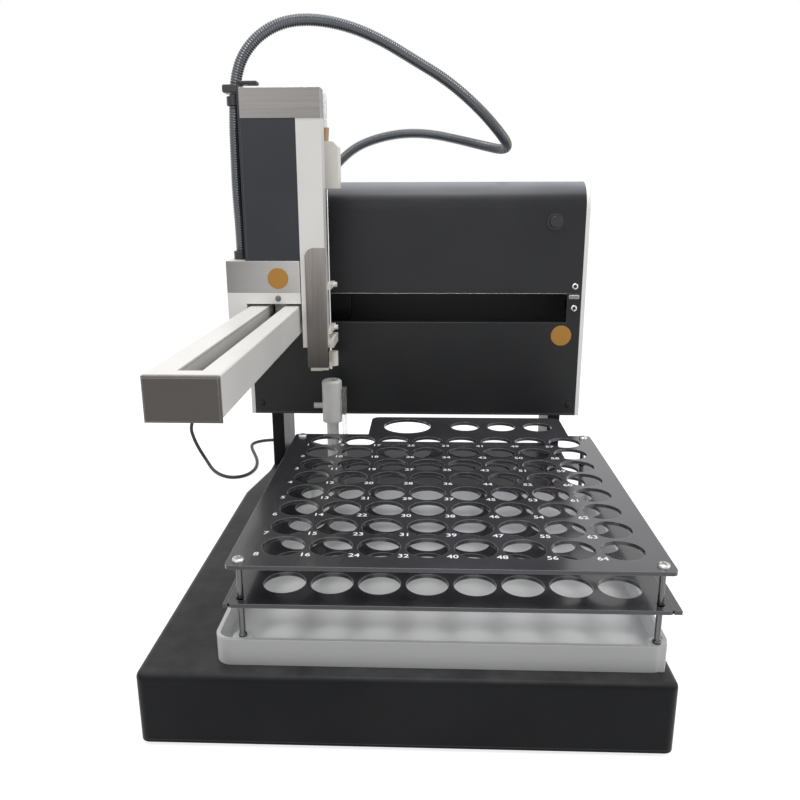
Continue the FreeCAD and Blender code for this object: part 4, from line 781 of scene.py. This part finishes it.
# A flat black hexagon at the bottom of each hexagon socket is painted shade in the recess.
shade_radius, shade_low, shade_high = 1.9 * mm, 0.42 * mm, 0.7 * mm
socket_shade_mesh = mesh_of(turned([(0, shade_low), (shade_radius, shade_low), (shade_radius, shade_high), (0, shade_high)], 6))
place_copies("socket_shade", socket_shade_mesh, socket_heads, black_screw_steel, "base")
print(len(cover_heads), "cover screws and", len(socket_heads), "socket screws")

# %% Rack screws
rack_heads = []
for number, (low, high) in enumerate(islands("rack_screws")):
    centre = (low + high) / 2
    seat = Vector((centre.x, centre.y, high.z - 2.4 * mm))
    rack_heads.append(facing_matrix(seat, (0, 0, 1), 0.5 + 0.7 * number))
rack_screw = pan_head(4.2 * mm, 2.4 * mm, 1.3 * mm)
place_copies("rack_pan_screws", rack_screw, rack_heads, pale_screw_steel, "rack", "rack_screws")
print(len(rack_heads), "rack screws")

# %% [markdown]
# ### Edge strips
# The middle plate reaches a little past the top plate on both sides. Two flat strips at its edges, a hair
# thinner than the plate so that no faces coincide, are enough for that. Each small piece needs a finish, a
# slot and the body that it rides on, so one function gives it all three.


# %% A piece with its finish
def small_piece(name, mesh, material, body, smooth_angle=35):
    """An object made from a bmesh, with its finish and the body that it rides on."""
    piece = new_piece(name, mesh, smooth_angle)
    piece.data.materials.clear()
    piece.data.materials.append(material)
    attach(piece, body)
    return piece


# %% Edge strips of the middle plate
plate_low, plate_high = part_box("rack_middle_plate")
overlap, left_reach, right_edge = 0.5 * mm, 2.5 * mm, 185.8 * mm
strip_front, strip_length, strip_sink = 0.4 * mm, 300 * mm, 0.02 * mm
edge_strips = bmesh.new()
for first, last in ((plate_low.x - left_reach, plate_low.x + overlap), (plate_high.x - overlap, right_edge)):
    block(edge_strips, (first, plate_low.y + strip_front, plate_low.z + strip_sink),
          (last, plate_low.y + strip_length, plate_high.z - strip_sink))
small_piece("middle_plate_edges", edge_strips, charcoal_plate, "rack")
print("strips out to", round(right_edge, 4))

# %% [markdown]
# ### Rack posts
# The posts are slim dark rods with a collar at each end. A turned profile gives the collars and the small
# chamfers that catch the light.

# %% Turned posts
post_places = []
for low, high in islands("rack_posts"):
    centre = (low + high) / 2
    post_places.append(Matrix.Translation((centre.x, centre.y, low.z)))
post_height = high.z - low.z
rod_radius, collar_radius, collar_height, chamfer = 2.1 * mm, 2.9 * mm, 2.0 * mm, 0.3 * mm
half_profile = [(0, 0), (collar_radius, 0), (collar_radius, collar_height - chamfer),
                (collar_radius - chamfer, collar_height), (rod_radius, collar_height)]
post_profile = half_profile + [(radius, post_height - height) for radius, height in reversed(half_profile)]
post_mesh = mesh_of(turned(post_profile, sides=24))
place_copies("slim_posts", post_mesh, post_places, post_steel, "rack", "rack_posts")
print(len(post_places), "posts", round(post_height, 4), "m high")

# %% [markdown]
# ## Rack numbers
# Every hole of the rack has a small white number printed at its front left. Text objects with Blender's own
# font give the shapes. They are turned into one flat mesh that lies a few hundredths of a millimetre above
# the plate, so that it can't flicker against it.


# %% Print on the rack
def flat_text(words, size):
    """Mesh of one word, centred on the origin and facing +Z."""
    curve = bpy.data.curves.new("print", "FONT")
    curve.body = words
    curve.size = size
    curve.align_x = "CENTER"
    curve.align_y = "CENTER"
    curve.resolution_u = 3
    curve.offset = 0.1 * mm
    holder = bpy.data.objects.new("print", curve)
    scene.collection.objects.link(holder)
    bpy.context.view_layer.update()
    mesh = bpy.data.meshes.new_from_object(holder)
    bpy.data.objects.remove(holder)
    return mesh


print_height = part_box("rack_top_plate")[1].z + 0.04 * mm
hole_pitch = 34 * mm
first_hole = Vector((-86.5, -218.0)) * mm
digit_size, digit_stretch = 7.2 * mm, 1.12
left_of_hole, before_hole = 16.6 * mm, 13.2 * mm
numbers = bmesh.new()
for column in range(8):
    for row in range(8):
        word = flat_text(str(8 * column + row + 1), digit_size)
        word.transform(Matrix.Diagonal((digit_stretch, 1.0, 1.0, 1.0)))
        place = Vector((first_hole.x + column * hole_pitch - left_of_hole,
                        first_hole.y + (7 - row) * hole_pitch - before_hole, print_height))
        word.transform(Matrix.Translation(place))
        numbers.from_mesh(word)
        bpy.data.meshes.remove(word)
rack_numbers = small_piece("rack_numbers", numbers, number_ink, "rack")
print(len(rack_numbers.data.polygons), "faces of print")

# %% [markdown]
# ## Small things on the machine
# Blank amber stickers mark the two places where a real machine has printed labels. A grey screw sits under
# the one on the metal band, and a small catch joins the cabinet's two covers at the right.


# %% Stickers
def sticker(name, centre, radius, body):
    """A thin round sticker that faces the front."""
    profile = [(0, 0), (radius, 0), (radius, 0.10 * mm), (radius - 0.15 * mm, 0.16 * mm), (0, 0.16 * mm)]
    disc = turned(profile, sides=48)
    bmesh.ops.transform(disc, matrix=facing_matrix(centre, (0, -1, 0)), verts=disc.verts)
    return small_piece(name, disc, amber_vinyl, body, smooth_angle=15)


band_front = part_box("block_front_plate")[0].y
lower_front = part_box("lower_cover")[0].y
band_spot = Vector((-129.7 * mm, band_front, 296.5 * mm))
cabinet_spot = Vector((158.4 * mm, lower_front, 226.5 * mm))
band_radius, cabinet_radius = 10.0 * mm, 11.0 * mm
sticker("band_sticker", band_spot, band_radius, "y_tower")
sticker("cabinet_sticker", cabinet_spot, cabinet_radius, "base")
print("stickers", round(2 * band_radius, 4), "and", round(2 * cabinet_radius, 4), "m wide")

# %% Screw under the band
block_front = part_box("carriage_block")[0].y
band_screw_spot, band_screw_spin = Vector((-130.2 * mm, block_front, 277.4 * mm)), 0.6
band_screw = pan_head(2.9 * mm, 0.9 * mm, 0.6 * mm)
band_screw_place = facing_matrix(band_screw_spot, (0, -1, 0), band_screw_spin)
place_copies("block_screw", band_screw, [band_screw_place], slot_screw_steel, "y_tower")
print("screw on the face at", round(block_front, 4))

# %% Catch between the covers
catch_half_width, catch_depth, catch_half_height = 5.5 * mm, 1.6 * mm, 2.2 * mm
catch_spot = Vector((170.0 * mm, cover_front, 268.4 * mm))
catch = bmesh.new()
block(catch, (-catch_half_width, -catch_depth, -catch_half_height), (catch_half_width, 0, catch_half_height))
bmesh.ops.bevel(catch, geom=catch.edges, offset=0.5 * mm, segments=2, affect="EDGES")
bmesh.ops.translate(catch, vec=catch_spot, verts=catch.verts)
small_piece("cover_catch", catch, cap_steel, "base")
print("catch at", [round(c, 4) for c in catch_spot])

# %% [markdown]
# ### Strap, folded edge and highlight strip
# A black strap clamps the hose beside the tower and reaches over its top. Inside the arm's slot a fold hangs
# from the left edge. Along the lower cover's top edge a thin steel strip, pale with the steel's edge colour,
# is a painted highlight line. Plain boxes are enough for all three, with rounded edges on the strap and on
# the strip.

# %% Strap that holds the hose on the tower
tower_low, tower_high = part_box("tower_housing")
tower_left, tower_top = tower_low.x, tower_high.z
strap_left, strap_middle, clamp_half, tongue_half = -177.5 * mm, 50 * mm, 8.5 * mm, 6 * mm
strap = bmesh.new()
block(strap, (strap_left, strap_middle - clamp_half, tower_top - 9.0 * mm),
      (tower_left - 0.1 * mm, strap_middle + clamp_half, tower_top - 2.0 * mm))
block(strap, (tower_left - 3.0 * mm, strap_middle - tongue_half, tower_top - 1.9 * mm),
      (tower_left + 15.0 * mm, strap_middle + tongue_half, tower_top + 1.4 * mm))
bmesh.ops.bevel(strap, geom=strap.edges, offset=0.8 * mm, segments=2, affect="EDGES")
small_piece("hose_strap", strap, black_plastic, "y_tower")
print("strap at", round(tower_top, 4))

# %% Folded edge inside the arm's slot
beam_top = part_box("beam_channel")[1].z
fold_left, fold_thickness, fold_front, fold_rear = -141.5 * mm, 0.8 * mm, -250.5 * mm, 120 * mm
fold = bmesh.new()
block(fold, (fold_left, fold_front, beam_top - 15.8 * mm),
      (fold_left + fold_thickness, fold_rear, beam_top - 2.4 * mm))
small_piece("slot_flange", fold, cream_coat, "x_arm")
print("fold", round(fold_rear - fold_front, 4), "m long")

# %% Painted highlight strip on the lower cover's top edge
lower_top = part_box("lower_cover")[1].z
lip_half = 162.5 * mm
lip = bmesh.new()
block(lip, (-lip_half, lower_front - 0.15 * mm, lower_top - 0.45 * mm),
      (lip_half, lower_front + 0.9 * mm, lower_top + 0.05 * mm))
bmesh.ops.bevel(lip, geom=lip.edges, offset=0.1 * mm, segments=1, affect="EDGES")
small_piece("slot_lip_highlight", lip, cap_steel, "base")
print("lip at", round(lower_top, 4))

# %% [markdown]
# ### The arm's end cap
# The arm ends in a grey-brown plate with a chamfer all round. The chamfer is what catches the light on the
# real arm, and here it is painted light grey by a wide edge colour, a painted highlight. The CAD cap is a
# plain plate, so this piece replaces it, inside the same box.

# %% End cap
cap_low, cap_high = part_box("beam_end_cap")
cap = bmesh.new()
block(cap, cap_low, cap_high)
front_edges = [e for e in cap.edges if all(abs(v.co.y - cap_low.y) < 1e-6 for v in e.verts)]
bmesh.ops.bevel(cap, geom=front_edges, offset=1.3 * mm, segments=1, affect="EDGES")
end_cap = small_piece("arm_end_cap", cap, end_cap_grey, "x_arm", smooth_angle=20)
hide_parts("beam_end_cap")
print("end cap", [round(c, 4) for c in end_cap.dimensions])

# %% [markdown]
# ## Stage
# The photograph has a plain white ground. The floor is a pale sheet that the camera and the glossy surfaces
# see as white, but it still takes the machine's soft shadow. The world does the same behind everything.

# %% Floor
floor_mesh = bmesh.new()
bmesh.ops.create_grid(floor_mesh, x_segments=1, y_segments=1, size=12.0)
floor = new_piece("floor", floor_mesh)
paper = bpy.data.materials.new("paper_floor")
paper.use_nodes = True
tree = paper.node_tree
shader = tree.nodes["Principled BSDF"]
shader.inputs["Base Color"].default_value = (0.55, 0.55, 0.55, 1)
shader.inputs["Roughness"].default_value = 0.9
shader.inputs["Specular IOR Level"].default_value = 0.1
shader.inputs["Emission Color"].default_value = (1, 1, 1, 1)
rays = add(tree, "ShaderNodeLightPath")
seen = math(tree, "MAXIMUM", rays.outputs["Is Camera Ray"], rays.outputs["Is Transmission Ray"])
seen = math(tree, "MAXIMUM", seen, rays.outputs["Is Glossy Ray"])
join(tree, math(tree, "MULTIPLY", seen, 0.76), shader.inputs["Emission Strength"])
floor.data.materials.append(paper)

# %% World
world = bpy.data.worlds.new("studio")
world.use_nodes = True
scene.world = world
tree = world.node_tree
backdrop = tree.nodes["Background"]
backdrop.inputs["Color"].default_value = (1, 1, 1, 1)
rays = add(tree, "ShaderNodeLightPath")
direct = math(tree, "MAXIMUM", rays.outputs["Is Camera Ray"], rays.outputs["Is Transmission Ray"])
direct = math(tree, "MAXIMUM", direct, rays.outputs["Is Glossy Ray"])
join(tree, spread(tree, direct, 0.0, 1.0, 0.45, 1.0), backdrop.inputs["Strength"])


# %% [markdown]
# ### Lamps
# A large panel above gives the even light. A small one over the rack shines through the holes, so that soft
# round spots fall into the tray, and two weaker panels lift the front and the right side.


# %% Lamps
def soft_lamp(name, place, target, size, power):
    """A rectangular lamp at a place, turned towards a target."""
    lamp = bpy.data.lights.new(name, "AREA")
    lamp.shape = "RECTANGLE"
    lamp.size, lamp.size_y = size
    lamp.energy = power
    holder = bpy.data.objects.new(name, lamp)
    holder.location = place
    holder.rotation_euler = (Vector(target) - Vector(place)).to_track_quat("-Z", "Y").to_euler()
    scene.collection.objects.link(holder)


middle = (0, 0, 0.2)
soft_lamp("sky_panel", (-0.2, -0.2, 1.9), middle, (1.8, 1.4), 10.5)
soft_lamp("rack_lamp", (0.03, -0.32, 1.5), (0.03, -0.1, 0.1), (0.36, 0.36), 4.8)
soft_lamp("front_panel", (-0.9, -1.9, 1.0), middle, (1.2, 0.9), 5)
soft_lamp("right_panel", (1.7, -0.5, 0.9), middle, (0.9, 1.2), 8)
scene.view_settings.view_transform = "Standard"
print(len(bpy.data.lights), "lamps")
